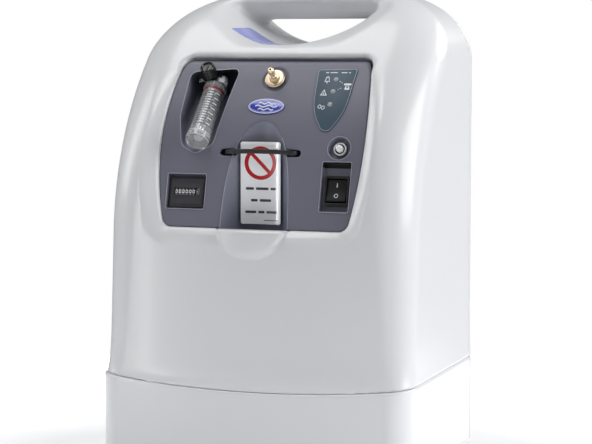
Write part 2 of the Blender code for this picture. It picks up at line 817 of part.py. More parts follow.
def crescent_band():
    """A thin band just above the floor of the hand hole."""
    centre_z = SMILE_LOW_Z + SMILE_RADIUS
    band = []
    steps = 12
    for radius in (SMILE_RADIUS - GAP, SMILE_RADIUS - GAP - 0.9):
        arc = []
        for step in range(steps + 1):
            angle = -0.75 + 0.74 * step / steps
            arc.append((radius * math.sin(angle), centre_z - radius * math.cos(angle)))
        band += arc if not band else list(reversed(arc))
    return band


def meter_frame():
    """Local Z up the tube, X to the right, -Y out of the bay, from the tube's top."""
    axis_up = (METER_TOP - METER_FOOT).normalized()
    side = Vector((1, 0, 0))
    frame = Matrix((side, axis_up.cross(side), axis_up)).transposed().to_4x4()
    frame.translation = METER_TOP
    return frame


def build_flowmeter():
    frame = meter_frame()
    length = (METER_TOP - METER_FOOT).length
    turned(
        "flowmeter_tube",
        [
            (METER_RADIUS, 0),
            (METER_RADIUS, -length + 7),
            (METER_RADIUS - 2, -length + 2),
            (METER_RADIUS - 6, -length),
            (0, -length),
            (0, -length + 14),
            (BORE_RADIUS - 1, -length + 14),
            (BORE_RADIUS, -4),
            (BORE_RADIUS, 0),
        ],
        frame,
        "clear",
        sides=32,
    )
    float_frame = frame @ Matrix.Translation((0, 0, -length + 18.2))
    turned(
        "flow_float",
        [(0, 4), (FLOAT_RADIUS * 0.7, 3), (FLOAT_RADIUS, 0), (FLOAT_RADIUS * 0.7, -3), (0, -4)],
        float_frame,
        "steel",
        sides=16,
    )
    body = block("flowmeter_block", (34, 22, 15.5), (-3, 0, GAP + 7.75), frame, "black")
    bevelled(body, 1.5, 1)
    join(body, cylinder("supply_spigot", 4, 30, SPIGOT_AT, "Y", frame, sides=16))
    seat = (KNOB_AT[0], KNOB_AT[1] + 1, KNOB_AT[2])
    cut(body, cylinder("valve_seat", 4.4, 18, seat, "Y", frame, sides=16))
    knob_frame = frame @ Matrix.Translation(KNOB_AT) @ Matrix.Rotation(math.pi / 2, 4, "X")
    turned(
        "flow_knob",
        [
            (0, 14.5),
            (KNOB_RADIUS - 1.5, 14.5),
            (KNOB_RADIUS, 13),
            (KNOB_RADIUS, GAP),
            (4, GAP),
            (4, -7),
            (0, -7),
        ],
        knob_frame,
        "black",
        sides=24,
    )


def build_outlet():
    frame = panel_frame(OUTLET_AT)
    turned(
        "outlet_fitting",
        [
            (1.6, 21),
            (2.9, 21),
            (3.9, 17.5),
            (3.1, 17.4),
            (4.1, 13.5),
            (3.2, 13.4),
            (3.2, 8),
            (6, 8),
            (6, 3.4),
            (12, 3.4),
            (12, 0.4),
            (5.2, 0.4),
            (5.2, -14),
            (1.6, -14),
        ],
        frame,
        "brass",
        sides=18,
    )


def build_breaker():
    frame = panel_frame(BREAKER_AT)
    turned(
        "breaker_body",
        [(4.2, 3), (6.5, 3), (7.5, 2), (7.5, -4.7), (6, -4.7), (6, -30), (0, -30), (0, -12), (4.2, -12)],
        frame,
        "steel",
    )
    turned(
        "breaker_button",
        [(0, 4.6), (2.8, 4.4), (3.8, 3), (3.8, -6), (0, -6)],
        frame,
        "lamp",
        sides=20,
    )


def build_switch():
    frame = panel_frame(ROCKER_AT)
    housing = block("switch_housing", (29, 35, 4), (0, 0, -4.7), frame, "black")
    join(housing, block("switch_body", (26.6, 32.4, 26), (0, 0, -4.7 - 13), frame))
    cut(housing, block("rocker_bay", (24, 28, 20), (0, 0, 0.5), frame))
    tilt = math.radians(-8)
    rocker_frame = frame @ Matrix.Translation((0, 0, -6.2)) @ Matrix.Rotation(tilt, 4, "X")
    side = [(-12.8, 0.6), (-12.9, 3.4), (0, 2.2), (12.9, 3.4), (12.8, 0.6), (3, -2), (-3, -2)]
    prism("switch_rocker", [(y, z) for y, z in side], -11.4, 11.4, "X", rocker_frame, "black")


def build_hour_meter():
    frame = panel_frame(HOURS_AT)
    housing = block("hour_meter_housing", (44.7, 36.2, 3), (0, 0, -5.2), frame, "black")
    join(housing, block("hour_meter_case", (40, 28, 24), (0, 0, -5.2 - 12), frame))
    cut(housing, block("hour_window", (33, 9, 10), (0, 0, -5.2), frame))
    cut(housing, block("drum_bay", (33, 13.5, 14), (0, 0, -14.2), frame))
    axis = frame @ Matrix.Translation((0, 0, -14.2)) @ TURNS["X"]
    cylinder("hour_drums", 6, 25.6, (0, 0, -3), frame=axis, look="lamp", sides=20)
    cylinder("tenth_hour_drum", 6, 5, (0, 0, 12.8), frame=axis, look="card", sides=20)


# ---------------------------------------------------------------- rear fittings


def louvred(name, size, centre, slots, slot_size, look):
    thick, tall = size[1:]
    x, y, z = centre
    plate = block(name, size, centre, look=look)
    pitch = tall / (slots + 1)
    for slot in range(slots):
        height = z - tall / 2 + pitch * (slot + 1)
        cut(plate, block(f"{name}_slot_{slot}", (slot_size[0], thick * 3, slot_size[1]), (x, y, height)))
    return plate


def build_rear():
    wide, tall = FILTER_BAY
    foam_size = (wide - 4, FOAM_THICK, tall - 4)
    block("cabinet_filter", foam_size, (FILTER_AT[0], FOAM_Y, FILTER_AT[1]), look="foam")
    for name, (wide, tall), (x, z), slots, slot_size, look in (
        ("filter_cover", FILTER_BAY, FILTER_AT, 9, (132, 6), "white"),
        ("exhaust_grille", EXHAUST_BAY, EXHAUST_AT, 5, (104, 4.5), "grey"),
    ):
        size = (wide - 1, LOUVRE_THICK, tall - 1)
        louvred(name, size, (x, LOUVRE_Y, z), slots, slot_size, look)
    gland_frame = Matrix.Translation((GLAND_AT[0], GLAND_FLOOR_Y + GAP, GLAND_AT[1])) @ TURNS["Y"]
    turned(
        "power_gland",
        [(4.5, 11.5), (7, 11.5), (8, 3.2), (12, 3.2), (12, 0), (8.2, 0), (8.2, -8), (4.5, -8)],
        gland_frame,
        "black",
    )


# ---------------------------------------------------------------- inside


def build_compressor():
    frame = Matrix.Translation((0, COMPRESSOR_Y, COMPRESSOR_Z)) @ TURNS["X"]
    turned(
        "compressor_body",
        [
            (6, 56),
            (50, 56),
            (54, 50),
            (54, -50),
            (50, -56),
            (6, -56),
        ],
        frame,
        "aluminium",
        sides=32,
    )
    for side, x in (("left", -HEAD_X), ("right", HEAD_X)):
        head = block("compressor_head_" + side, HEAD_SIZE, (x, COMPRESSOR_Y, 156), look="aluminium")
        bevelled(head, 4, 1)
        cut(head, cylinder("shaft_way_" + side, 7, 80, (x, COMPRESSOR_Y, COMPRESSOR_Z), "X"))
    rotor_frame = Matrix.Translation((0, COMPRESSOR_Y, COMPRESSOR_Z)) @ TURNS["X"]
    rotor = turned(
        "compressor_rotor",
        [(0, 112), (5.2, 112), (5.2, -103), (12, -103), (12, -114), (0, -114)],
        rotor_frame,
        "steel",
        sides=20,
    )
    blades = 6
    for blade in range(blades):
        turn = Matrix.Rotation(2 * math.pi * blade / blades, 4, "Z")
        pitch = Matrix.Rotation(math.radians(30), 4, "X")
        frame = rotor_frame @ turn @ Matrix.Translation((25, 0, -108.5)) @ pitch
        join(rotor, block(f"rotor_blade_{blade}", (34, 14, 1.5), frame=frame))

    wide, deep = SOUND_BOX
    tall = DECK_Z - SOUND_BOX_LOW_Z
    middle = SOUND_BOX_LOW_Z + tall / 2
    inset = 2 * SOUND_BOX_WALL
    box = block("sound_box", (wide, deep, tall), (0, COMPRESSOR_Y, middle), look="steel")
    void_size = (wide - inset, deep - inset, tall)
    cut(
        box,
        block("sound_box_void", void_size, (0, COMPRESSOR_Y, middle - SOUND_BOX_WALL)),
        cylinder("sound_box_way", FAN_WAY, 40, (0, FAN_Y, DECK_Z)),
        block("sound_box_exit", (110, 40, 40), (0, COMPRESSOR_Y + deep / 2, EXHAUST_AT[1])),
    )
    mount = block("compressor_mount", (230, 100, 5), (0, COMPRESSOR_Y, MOUNT_Z), look="rubber")
    for x in (-95, 95):
        for y in (COMPRESSOR_Y - 36, COMPRESSOR_Y + 36):
            join(mount, cylinder("mount_foot", 9, 12, (x, y, 58), sides=12))
        join(mount, cylinder("mount_post", 16, 38, (x * 0.82, COMPRESSOR_Y, 87), sides=16))


def build_sieves():
    low = DECK_Z + 6
    radius = SIEVE_RADIUS
    for side, x in (("left", -SIEVE_X), ("right", SIEVE_X)):
        turned(
            "sieve_bed_" + side,
            [(0, 492), (10, 492), (10, 486), (radius, 480), (radius, low + 6), (radius - 6, low), (0, low)],
            Matrix.Translation((x, SIEVE_Y, 0)),
            "aluminium",
            sides=28,
        )
    turned(
        "product_tank",
        [
            (0, 446),
            (TANK_RADIUS - 6, 440),
            (TANK_RADIUS, 430),
            (TANK_RADIUS, 272),
            (TANK_RADIUS - 6, 260),
            (0, low),
        ],
        Matrix.Translation((0, TANK_Y, 0)),
        "white",
        sides=28,
    )
    manifold = block("valve_manifold", MANIFOLD_SIZE, MANIFOLD_AT, look="aluminium")
    bevelled(manifold, 2, 1)
    _, y, z = MANIFOLD_AT
    cut(manifold, cylinder("spool_bore", SPOOL_RADIUS + 0.4, 60, (SPOOL_X + 1, y, z), "X"))
    join(manifold, cylinder("pilot_valve", 12, 34, (-30, y - 32, z), "Y", sides=20))
    spool_frame = Matrix.Translation((SPOOL_X, y, z))
    cylinder("valve_spool", SPOOL_RADIUS, 26, axis="X", frame=spool_frame, look="steel", sides=16)


def build_cooling():
    frame = Matrix.Translation((0, FAN_Y, 0))
    middle = DECK_Z + GAP + FAN_THICK / 2
    housing = block("fan_frame", (FAN_SIZE, FAN_SIZE, FAN_THICK), (0, 0, middle), frame, "black")
    cut(housing, cylinder("fan_way", FAN_WAY, 60, (0, 0, DECK_Z + 12), frame=frame, sides=32))
    spider = block("fan_spider", (90, 5, 3), (0, 0, DECK_Z + 3), frame)
    join(housing, spider, cylinder("fan_motor", 14, 3, (0, 0, DECK_Z + 3), frame=frame))
    rotor_frame = frame @ Matrix.Translation((0, 0, DECK_Z + 14))
    rotor = turned(
        "cooling_fan_rotor",
        [(0, 8), (13, 8), (16, 5), (16, -7), (0, -7)],
        rotor_frame,
        "black",
        sides=20,
    )
    blades = 7
    for blade in range(blades):
        turn = Matrix.Rotation(2 * math.pi * blade / blades, 4, "Z")
        pitch = Matrix.Rotation(math.radians(35), 4, "X")
        place = rotor_frame @ turn @ Matrix.Translation((27, 0, 0)) @ pitch
        join(rotor, block(f"fan_blade_{blade}", (25, 17, 1.4), frame=place))

    turns = 3
    per_turn = 12
    coil = []
    for step in range(turns * per_turn + 1):
        angle = 2 * math.pi * step / per_turn
        spoke = Vector((math.cos(angle), math.sin(angle), 0)) * COIL_RADIUS
        coil.append(Vector(COIL_AT) + spoke + Vector((0, 0, COIL_PITCH * step / per_turn)))
    pipe("heat_exchanger", coil, COIL_TUBE, "copper")


def build_electrics():
    board = block("circuit_board", BOARD_SIZE, BOARD_AT, look="board")
    join(
        board,
        block("relay", (22, 14, 28), (78, -37, 380)),
        block("microcontroller", (26, 3, 26), (110, -45.5, 410)),
        cylinder("beeper", 7, 9, (138, -47, 436), "Y", sides=16),
        block("connector", (30, 9, 8), (130, -41, 348)),
    )
    cylinder("motor_capacitor", 20, 84, CAPACITOR_AT, look="aluminium")


def build_air_path():
    turned(
        "intake_filter",
        [(0, 318), (10, 318), (10, 312), (34, 308), (34, 262), (30, 256), (0, 256)],
        Matrix.Translation(INTAKE_FILTER_AT),
        "white",
    )
    turned(
        "outlet_filter",
        [(0, 16), (4, 16), (4, 9), (21, 6), (21, -6), (4, -9), (4, -16), (0, -16)],
        Matrix.Translation(OUTLET_FILTER_AT) @ TURNS["Y"],
        "clear",
        sides=20,
    )
    outlet = panel_frame(OUTLET_AT)
    start = outlet @ Vector((0, 0, -14.6))
    inward = outlet @ Vector((0, 0, -26.0))
    route = smooth_route([start, inward, (10, -36, 452), (10, -34, 440), (10, -24.6, 440)], 4)
    pipe("outlet_hose", route, HOSE_RADIUS, "clear")


def main():
    build_cabinet()
    build_base()
    build_castors()
    build_panel()
    build_panel_trim()
    build_flowmeter()
    build_outlet()
    build_breaker()
    build_switch()
    build_hour_meter()
    build_rear()
    build_compressor()
    build_sieves()
    build_cooling()
    build_electrics()
    build_air_path()


main()
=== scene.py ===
"""Looks of the home oxygen concentrator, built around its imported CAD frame.

The cabinet, skirt and panel are meshed from signed distance functions that repeat
the CAD's driving dimensions, in millimetres. Everything else is turned, swept or
pressed. Meshes are scaled to metres when they are made.
"""

import json
import math

import bmesh  # noqa: E402
import bpy  # noqa: E402
import numpy as np  # noqa: E402
from mathutils import Matrix, Vector  # noqa: E402


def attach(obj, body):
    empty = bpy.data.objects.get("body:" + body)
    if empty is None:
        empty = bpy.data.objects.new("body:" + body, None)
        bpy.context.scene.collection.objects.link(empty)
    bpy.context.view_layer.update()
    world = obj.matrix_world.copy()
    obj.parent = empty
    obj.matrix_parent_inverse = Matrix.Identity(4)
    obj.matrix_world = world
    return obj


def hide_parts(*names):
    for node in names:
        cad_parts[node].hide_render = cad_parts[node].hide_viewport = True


MM = 0.001
ROOT = "cabinet"
FLOOR_RADIUS = 0.95

# Dimensions shared with the CAD, in millimetres
HALF_WIDTH = 190.5
REAR_Y = 152.5
HEIGHT = 584.0
SPLIT_Y = 124.0
SEAM_Z = 128.0
FOOT_Z = 30.0
FRONT_Y = -134.0
CREST_Y = 105.0
LEAN_START_Z = 300.0
BULGE = 8.0
BULGE_REACH = 165.0
SHOULDER_X = 65.5
SHOULDER_Z = 496.0
SHOULDER_HALF = HALF_WIDTH - SHOULDER_X
SHOULDER_RISE = HEIGHT - SHOULDER_Z
EDGE_LOW = 30.0
EDGE_HIGH = 60.0
EDGE_CROWN = 10.0
REAR_RADIUS = 26.0
SKIRT_CORNER_Y = -145.0
SKIRT_MIDDLE_Y = -152.5
SKIRT_RADIUS = 30.0
SMILE_LOW_Z = 517.0
SMILE_RADIUS = 118.41
SMILE_CENTRE_Z = SMILE_LOW_Z + SMILE_RADIUS
BAR_LOW_Z = 549.5
BAR_FRONT_Y = 86.0
BAR_BACK_Y = 128.0
BAR_FRONT_SLOPE = 26.0 / 22.5
BAR_BACK_SLOPE = 24.5 / 25.5
PANEL_LOW_Z = 308.0
PANEL_HIGH_Z = 499.0
PANEL_HALF = 124.5
PANEL_WAIST_Z = 412.0
PANEL_TAPER = 0.00122
PANEL_FOOT_Y = -129.5
PANEL_FOOT_Z = 300.0
PANEL_SLOPE = 0.21
PANEL_CURL = 5.24e-6
STRAP_SLOT_X = 39.5
STRAP_SLOT_Z = 393.6
BAY_RADIUS = 41.2
BAY_AXIS_Y = -132.0
BAY_FLOOR_Z = 300.0
BAY_WALL = 2.5
OPENING_GAP = 0.5
POCKET_DEPTH = 12.0
SEAM_GAP = 0.05
SHELL_WALL = 3.0
REAR_WALL = 2.5
PANEL_WALL = 2.2
CASTOR_X = 150.0
CASTOR_Y = 108.0
CASTOR_TRAIL = 12.0
WHEEL_RADIUS = 20.0
FILTER_AT = (0.0, 315.0)
EXHAUST_AT = (0.0, 105.0)
GLAND_AT = (128.0, 92.0)

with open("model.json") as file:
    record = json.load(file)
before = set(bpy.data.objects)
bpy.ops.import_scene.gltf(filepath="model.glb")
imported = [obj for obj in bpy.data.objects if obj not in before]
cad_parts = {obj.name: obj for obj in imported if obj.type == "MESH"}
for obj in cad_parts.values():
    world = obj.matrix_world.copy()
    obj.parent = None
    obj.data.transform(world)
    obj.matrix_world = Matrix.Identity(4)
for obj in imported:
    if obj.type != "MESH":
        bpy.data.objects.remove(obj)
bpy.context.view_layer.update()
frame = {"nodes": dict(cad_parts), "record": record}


# ---- distance functions


def round_max(a, b, radius):
    """Where both are inside, with the shared edge rounded."""
    reach_a = np.maximum(a + radius, 0.0)
    reach_b = np.maximum(b + radius, 0.0)
    return np.minimum(-radius, np.maximum(a, b)) + np.hypot(reach_a, reach_b)


def smooth_step(low, high, value):
    share = np.clip((value - low) / (high - low), 0.0, 1.0)
    return share * share * (3.0 - 2.0 * share)


def mix(a, b, share):
    return a + (b - a) * share


def in_front_view(function):
    """A function of x and z alone, worked out once for all the y of a grid."""

    def once(x, z):
        if np.ndim(x) == 3:
            return function(x[:, :1], z[:, :1])
        return function(x, z)

    return once


def unit(function, step=0.05):
    """The same surface as function, scaled to be close to a true distance near it."""

    def scaled(x, y, z):
        here = function(x, y, z)
        ahead = (function(x + step, y, z), function(x, y + step, z), function(x, y, z + step))
        slope = np.sqrt(sum((value - here) ** 2 for value in ahead)) / step
        return here / np.maximum(slope, 0.2)

    return scaled


# ---- meshing


def mesh_surface(function, lines, mirror):
    """Vertices and quads of the zero surface of a distance function, by surface nets.

    With mirror, the first x cell straddles x = 0 and the other half is a reflection.
    """
    lines = [np.asarray(line, float) for line in lines]
    slabs = np.array_split(lines[0], range(16, len(lines[0]), 16))
    field = np.concatenate([function(*np.meshgrid(slab, *lines[1:], indexing="ij")) for slab in slabs])
    inside = field < 0
    cells = np.array(field.shape) - 1
    total = np.zeros((3, cells.prod()))
    count = np.zeros(cells.prod())
    crossings = []
    for axis in range(3):
        ahead = np.eye(3, dtype=int)[axis]
        low = tuple(slice(0, n - a) for a, n in zip(ahead, field.shape))
        high = tuple(slice(a, n) for a, n in zip(ahead, field.shape))
        at = np.argwhere(inside[low] != inside[high])
        after = at + ahead
        f_low = field[tuple(at.T)]
        share = f_low / (f_low - field[tuple(after.T)])
        point = np.stack([lines[k][at[:, k]] for k in range(3)])
        point[axis] += share * (lines[axis][after[:, axis]] - lines[axis][at[:, axis]])
        first, second = (k for k in range(3) if k != axis)
        around = []
        for back_first, back_second in ((0, 0), (1, 0), (1, 1), (0, 1)):
            cell = at.copy()
            cell[:, first] -= back_first
            cell[:, second] -= back_second
            valid = np.all((cell >= 0) & (cell < cells), axis=1)
            index = np.where(valid, np.ravel_multi_index(np.clip(cell, 0, cells - 1).T, cells), -1)
            around.append(index)
            for k in range(3):
                total[k] += np.bincount(index[valid], point[k][valid], len(count))
            count += np.bincount(index[valid], minlength=len(count))
        quad = np.stack(around, axis=1)
        whole = np.all(quad >= 0, axis=1)
        backwards = (f_low[whole] < 0) != (axis != 1)
        quad = quad[whole]
        quad[backwards] = quad[backwards][:, ::-1]
        crossings.append(quad)
    active = np.flatnonzero(count)
    number = np.full(len(count), -1)
    number[active] = np.arange(len(active))
    faces = number[np.concatenate(crossings)]
    on_plane = (np.unravel_index(active, cells)[0] == 0) & mirror
    verts = settle(function, (total[:, active] / count[active]).T, faces, on_plane)
    if mirror:
        twin = np.where(on_plane, np.arange(len(verts)), len(verts) + np.cumsum(~on_plane) - 1)
        verts = np.concatenate([verts, verts[~on_plane] * np.array([-1.0, 1.0, 1.0])])
        faces = np.concatenate([faces, twin[faces][:, ::-1]])
    return verts, faces


def settle(function, verts, faces, on_plane, relax=2):
    """Moves vertices onto the true surface and evens out their spacing along it."""
    starts = faces.T.ravel()
    stops = np.roll(faces, -1, axis=1).T.ravel()
    ends = np.concatenate([starts, stops])
    others = np.concatenate([stops, starts])
    degree = np.maximum(np.bincount(ends, minlength=len(verts)), 1)
    verts[on_plane, 0] = 0.0
    for turn in range(relax + 1):
        if turn:
            mean = np.stack([np.bincount(ends, verts[others, k], len(verts)) / degree for k in range(3)], axis=1)
            verts = mix(verts, mean, 0.5)
        verts = project(function, verts)
        verts[on_plane, 0] = 0.0
    return verts


def project(function, verts, turns=3, step=0.04, reach=1.2):
    for _ in range(turns):
        here = function(*verts.T)
        nudges = np.eye(3) * step
        slope = [function(*(verts + nudge).T) - function(*(verts - nudge).T) for nudge in nudges]
        slope = np.stack(slope, axis=1) / (2 * step)
        size = np.maximum(np.sum(slope * slope, axis=1), 1e-3)
        move = -slope * (here / size)[:, None]
        length = np.linalg.norm(move, axis=1)
        verts = verts + move * np.minimum(1.0, reach / np.maximum(length, 1e-9))[:, None]
    return verts


def spans(*stops):
    """Grid lines from (end, spacing) stops; the first stop is the start."""
    lines = [float(stops[0])]
    for end, spacing in stops[1:]:
        count = max(1, round((end - lines[-1]) / spacing))
        lines += list(np.linspace(lines[-1], end, count + 1)[1:])
    return lines


def open_up(verts, faces, hidden):
    """The surface without the faces whose middles are hidden, and the vertices that they leave."""
    middle = verts[faces].mean(axis=1)
    faces = faces[~hidden(*middle.T)]
    used = np.unique(faces)
    number = np.full(len(verts), -1)
    number[used] = np.arange(len(used))
    return verts[used], number[faces]


def thicken(obj, wall):
    step = obj.modifiers.new("wall", "SOLIDIFY")
    step.thickness = wall * MM
    step.offset = -1.0


def link(name, data):
    obj = bpy.data.objects.new(name, data)
    bpy.context.scene.collection.objects.link(obj)
    return obj


def new_object(name, verts, faces, look):
    mesh = bpy.data.meshes.new(name)
    mesh.from_pydata((np.asarray(verts) * MM).tolist(), [], [list(map(int, f)) for f in faces])
    mesh.validate()
    mesh.shade_smooth()
    obj = link(name, mesh)
    mesh.materials.append(looks[look])
    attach(obj, ROOT)
    return obj


def shell(name, node, solid, hidden, grid, wall, look="white", slot="white_cabinet", mirror=True):
    """A hollow piece, meshed from its solid without the faces that are hidden."""
    verts, faces = open_up(*mesh_surface(solid, grid, mirror), hidden)
    piece = new_object(name, verts, faces, look)
    thicken(piece, wall)
    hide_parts(node)
    return piece


# ---- cabinet shape


def lean(z, top=HEIGHT):
    rise = np.clip((z - LEAN_START_Z) / (top - LEAN_START_Z), 0.0, 1.0)
    return 1.0 - np.maximum(1.0 - rise**2, 0.0) ** (2.0 / 3.0)


@in_front_view
def front_y(x, z):
    tilt = lean(z)
    swell = BULGE * np.maximum(0.0, 1.0 - (x / BULGE_REACH) ** 2) * (1.0 - tilt)
    return FRONT_Y + (CREST_Y - FRONT_Y) * tilt - swell


def panel_y(z):
    rise = z - PANEL_FOOT_Z
    return PANEL_FOOT_Y + PANEL_SLOPE * rise + PANEL_CURL * rise**3


def panel_slope(z):
    return PANEL_SLOPE + 3 * PANEL_CURL * (z - PANEL_FOOT_Z) ** 2


def bay_rim(x, y):
    """Distance in the top view outside the humidifier bay's round wall."""
    return np.hypot(x, y - BAY_AXIS_Y) - BAY_RADIUS


def flat_box(x, z, centre, size, radius):
    """Distance in the front view outside a rectangle with round corners."""
    wide = np.abs(x - centre[0]) - size[0] / 2
    tall = np.abs(z - centre[1]) - size[1] / 2
    return round_max(wide, tall, radius)


@in_front_view
def panel_rim(x, z):
    """Distance in the front view outside the panel's outline."""
    side = np.abs(x) - (PANEL_HALF - PANEL_TAPER * (z - PANEL_WAIST_Z) ** 2)
    middle = (PANEL_LOW_Z + PANEL_HIGH_Z) / 2
    ends = np.abs(z - middle) - (PANEL_HIGH_Z - PANEL_LOW_Z) / 2
    radius = mix(8.5, 9.0, smooth_step(middle - 40, middle + 40, z))
    return round_max(side, ends, radius)


def seam_z(x, y):
    """Height of the joint between the upper cabinet and the skirt."""
    dip = np.maximum(0.0, 1.0 - (x / 188.0) ** 2) * (1.0 - smooth_step(-130.0, -60.0, y))
    return 133.0 - 10.0 * dip


def faces_front(y):
    """1 where the joint runs across the front, 0 along the sides, where it closes up."""
    return smooth_step(-95.0, -132.0, y)


def seam_gap(y):
    return mix(0.01, SEAM_GAP, faces_front(y))


def outline(x, z, flare):
    """Distance outside the cabinet's front view."""
    across = np.abs(x)
    sides = across - HALF_WIDTH + flare
    dx = np.maximum(across - SHOULDER_X, 0.0)
    dz = np.maximum(z - SHOULDER_Z, 0.0)
    near = np.sqrt((dx / SHOULDER_HALF) ** 2 + (dz / SHOULDER_RISE) ** 2)
    steep = np.sqrt((dx / SHOULDER_HALF**2) ** 2 + (dz / SHOULDER_RISE**2) ** 2)
    shoulder = near * (near - 1.0) / np.maximum(steep, 1e-6)
    crown = z - HEIGHT
    arc = np.where(across < SHOULDER_X, crown, shoulder + flare * (1 - np.clip(dz / 60.0, 0, 1)))
    return np.where(z < SHOULDER_Z, sides, arc)


@in_front_view
def edge_radius(x, z):
    rise = np.clip((z - 150.0) / (SHOULDER_Z - 150.0), 0.0, 1.0)
    low = mix(EDGE_LOW, EDGE_HIGH, rise)
    dx = np.maximum(np.abs(x) - SHOULDER_X, 0.0) / SHOULDER_HALF
    dz = np.maximum(z - SHOULDER_Z, 0.0) / SHOULDER_RISE
    total = np.maximum(dx * dx + dz * dz, 1e-6)
    return low * dx * dx / total + EDGE_CROWN * dz * dz / total


@in_front_view
def bowl(x, z):
    """1 on the bulge under the humidifier bay, 0 away from it."""
    drop = np.clip((PANEL_LOW_Z - z) / 36.0, 0.0, 1.0)
    half = 41.5 * (1.0 - drop**1.7)
    edge = smooth_step(2.2, -2.2, np.abs(x) - half)
    return edge * smooth_step(38.0, 30.0, PANEL_LOW_Z - z) * smooth_step(330.0, 316.0, z)


@in_front_view
def bowl_swell(x, z):
    """How far the bulge stands out beyond the front."""
    drop = np.clip((PANEL_LOW_Z + 4.0 - z) / 38.0, 0.0, 1.0)
    across = np.clip(np.abs(x) / (42.5 * np.sqrt(np.maximum(1.0 - drop**2, 0.01))), 0.0, 1.0)
    return 4.2 * np.sqrt(1.0 - across**2) * np.sqrt(1.0 - drop**2) * (z < PANEL_LOW_Z + 30.0)


@in_front_view
def recess(x, z):
    """How far the border of the panel dips behind the front."""
    rim = panel_rim(x, z)
    width = mix(21.0, 9.0, smooth_step(470.0, 503.0, z))
    width = mix(25.0, width, smooth_step(300.0, 335.0, z))
    proud = mix(1.5, 4.5, smooth_step(475.0, 500.0, z))
    depth = np.maximum(panel_y(np.clip(z, 300.0, 505.0)) - front_y(x, z) - proud, 0.0)
    share = np.clip(rim / width, 0.0, 1.0)
    return depth * (1.0 - share) ** 2 * (1.0 + 0.6 * share) * (1.0 - bowl(x, z))


def flare_out(z, amount, length):
    return amount * (1.0 - np.exp(-np.maximum(z - SEAM_Z, 0.0) / length))


def cabinet(x, y, z):
    """The outside of the whole upper cabinet, with the panel's dished border."""
    swell = 9.0 * np.exp(-np.maximum(z - SEAM_Z, 0.0) / 13.0)
    face = front_y(x, z) + recess(x, z) - swell - bowl_swell(x, z) - y
    edge = outline(x, z, flare_out(z, 2.6, 16.0))
    body = round_max(edge, face, edge_radius(x, z))
    return round_max(body, y - REAR_Y, REAR_RADIUS)


def bar_roof(y, z):
    """Positive below the cross bar's underside."""
    front = (z - BAR_LOW_Z) * BAR_FRONT_SLOPE - (BAR_FRONT_Y - y)
    rear = (z - BAR_LOW_Z) * BAR_BACK_SLOPE - (y - BAR_BACK_Y)
    front = front / math.hypot(1.0, BAR_FRONT_SLOPE)
    rear = rear / math.hypot(1.0, BAR_BACK_SLOPE)
    return round_max(round_max(BAR_LOW_Z - z, -front, 9.0), -rear, 9.0)


def hand_hole(x, y, z):
    """Inside the scoop, the way under the bar and the rear scoop."""
    arc = np.hypot(x, z - SMILE_CENTRE_Z) - SMILE_RADIUS
    return round_max(arc, -bar_roof(y, z), 14.0)


cabinet_skin = unit(cabinet)


def holed(x, y, z):
    skin = cabinet_skin(x, y, z)
    flare = mix(6.0, 22.0, smooth_step(12.0, 72.0, np.abs(x)))
    return round_max(skin, -hand_hole(x, y, z), mix(6.0, flare, smooth_step(75.0, 30.0, y)))


def panel_pocket(x, y, z):
    """Inside the opening for the control panel, down to its floor."""
    gap = mix(OPENING_GAP, 1.4, smooth_step(480.0, 500.0, z))
    return np.maximum(panel_rim(x, z) - gap, y - panel_y(z) - POCKET_DEPTH)


def bay_clearance(x, y, z):
    """Room for the humidifier bay behind the lip."""
    tub = np.maximum(bay_rim(x, y) - 3.0, BAY_FLOOR_Z - 3.1 - z)
    return np.maximum(tub, panel_y(z) - 0.5 - y)


def front_solid(x, y, z):
    """The front cabinet before it is hollowed."""
    lip = mix(2.0, 11.0, smooth_step(482.0, 500.0, z))
    body = round_max(holed(x, y, z), -panel_pocket(x, y, z), mix(lip, 3.5, bowl(x, z)))
    body = np.maximum(body, -bay_clearance(x, y, z))
    body = round_max(body, seam_z(x, y) + seam_gap(y) - z, mix(0.2, 0.6, faces_front(y)))
    return round_max(body, y - SPLIT_Y + 0.2, 0.6)


def front_hidden(x, y, z):
    """The caps of the solid that the hollow cabinet doesn't have."""
    floor = (panel_rim(x, z) < -0.6) & (y > panel_y(z) - 3.0)
    well = (np.abs(x) < 46.0) & (z < PANEL_LOW_Z) & (z > 290.0) & (y > panel_y(z) + 1.0) & (y < -60.0)
    under = z < seam_z(x, y) + seam_gap(y) + 0.03
    back = y > SPLIT_Y - 0.25
    return floor | well | under | back


# ---- materials


def nodes_of(material):
    tree = material.node_tree
    return tree, tree.nodes["Principled BSDF"]


def tune(node, **values):
    """Sets a node's inputs, whose names are written with _ for a space."""
    for name, value in values.items():
        node.inputs[name.replace("_", " ")].default_value = value
    return node


def rgba(value):
    return (value, value, value, 1.0) if isinstance(value, float) else (*value, 1.0)


def noise(tree, scale, detail, roughness=0.55, stretch=(1.0, 1.0, 1.0)):
    """Noise over the object's own coordinates, in metres."""
    place = tree.nodes.new("ShaderNodeTexCoord")
    turn = tune(tree.nodes.new("ShaderNodeMapping"), Scale=stretch)
    tree.links.new(place.outputs["Object"], turn.inputs["Vector"])
    cloud = tune(tree.nodes.new("ShaderNodeTexNoise"), Scale=scale, Detail=detail, Roughness=roughness)
    tree.links.new(turn.outputs["Vector"], cloud.inputs["Vector"])
    return cloud.outputs["Fac"]


def ramp(tree, source, low, high, start=0.15, end=0.85):
    """A colour or a grey that runs from low to high as the source goes from start to end."""
    node = tree.nodes.new("ShaderNodeValToRGB")
    for stop, place, value in zip(node.color_ramp.elements, (start, end), (low, high)):
        stop.position = place
        stop.color = rgba(value)
    tree.links.new(source, node.inputs["Fac"])
    return node.outputs["Color"]


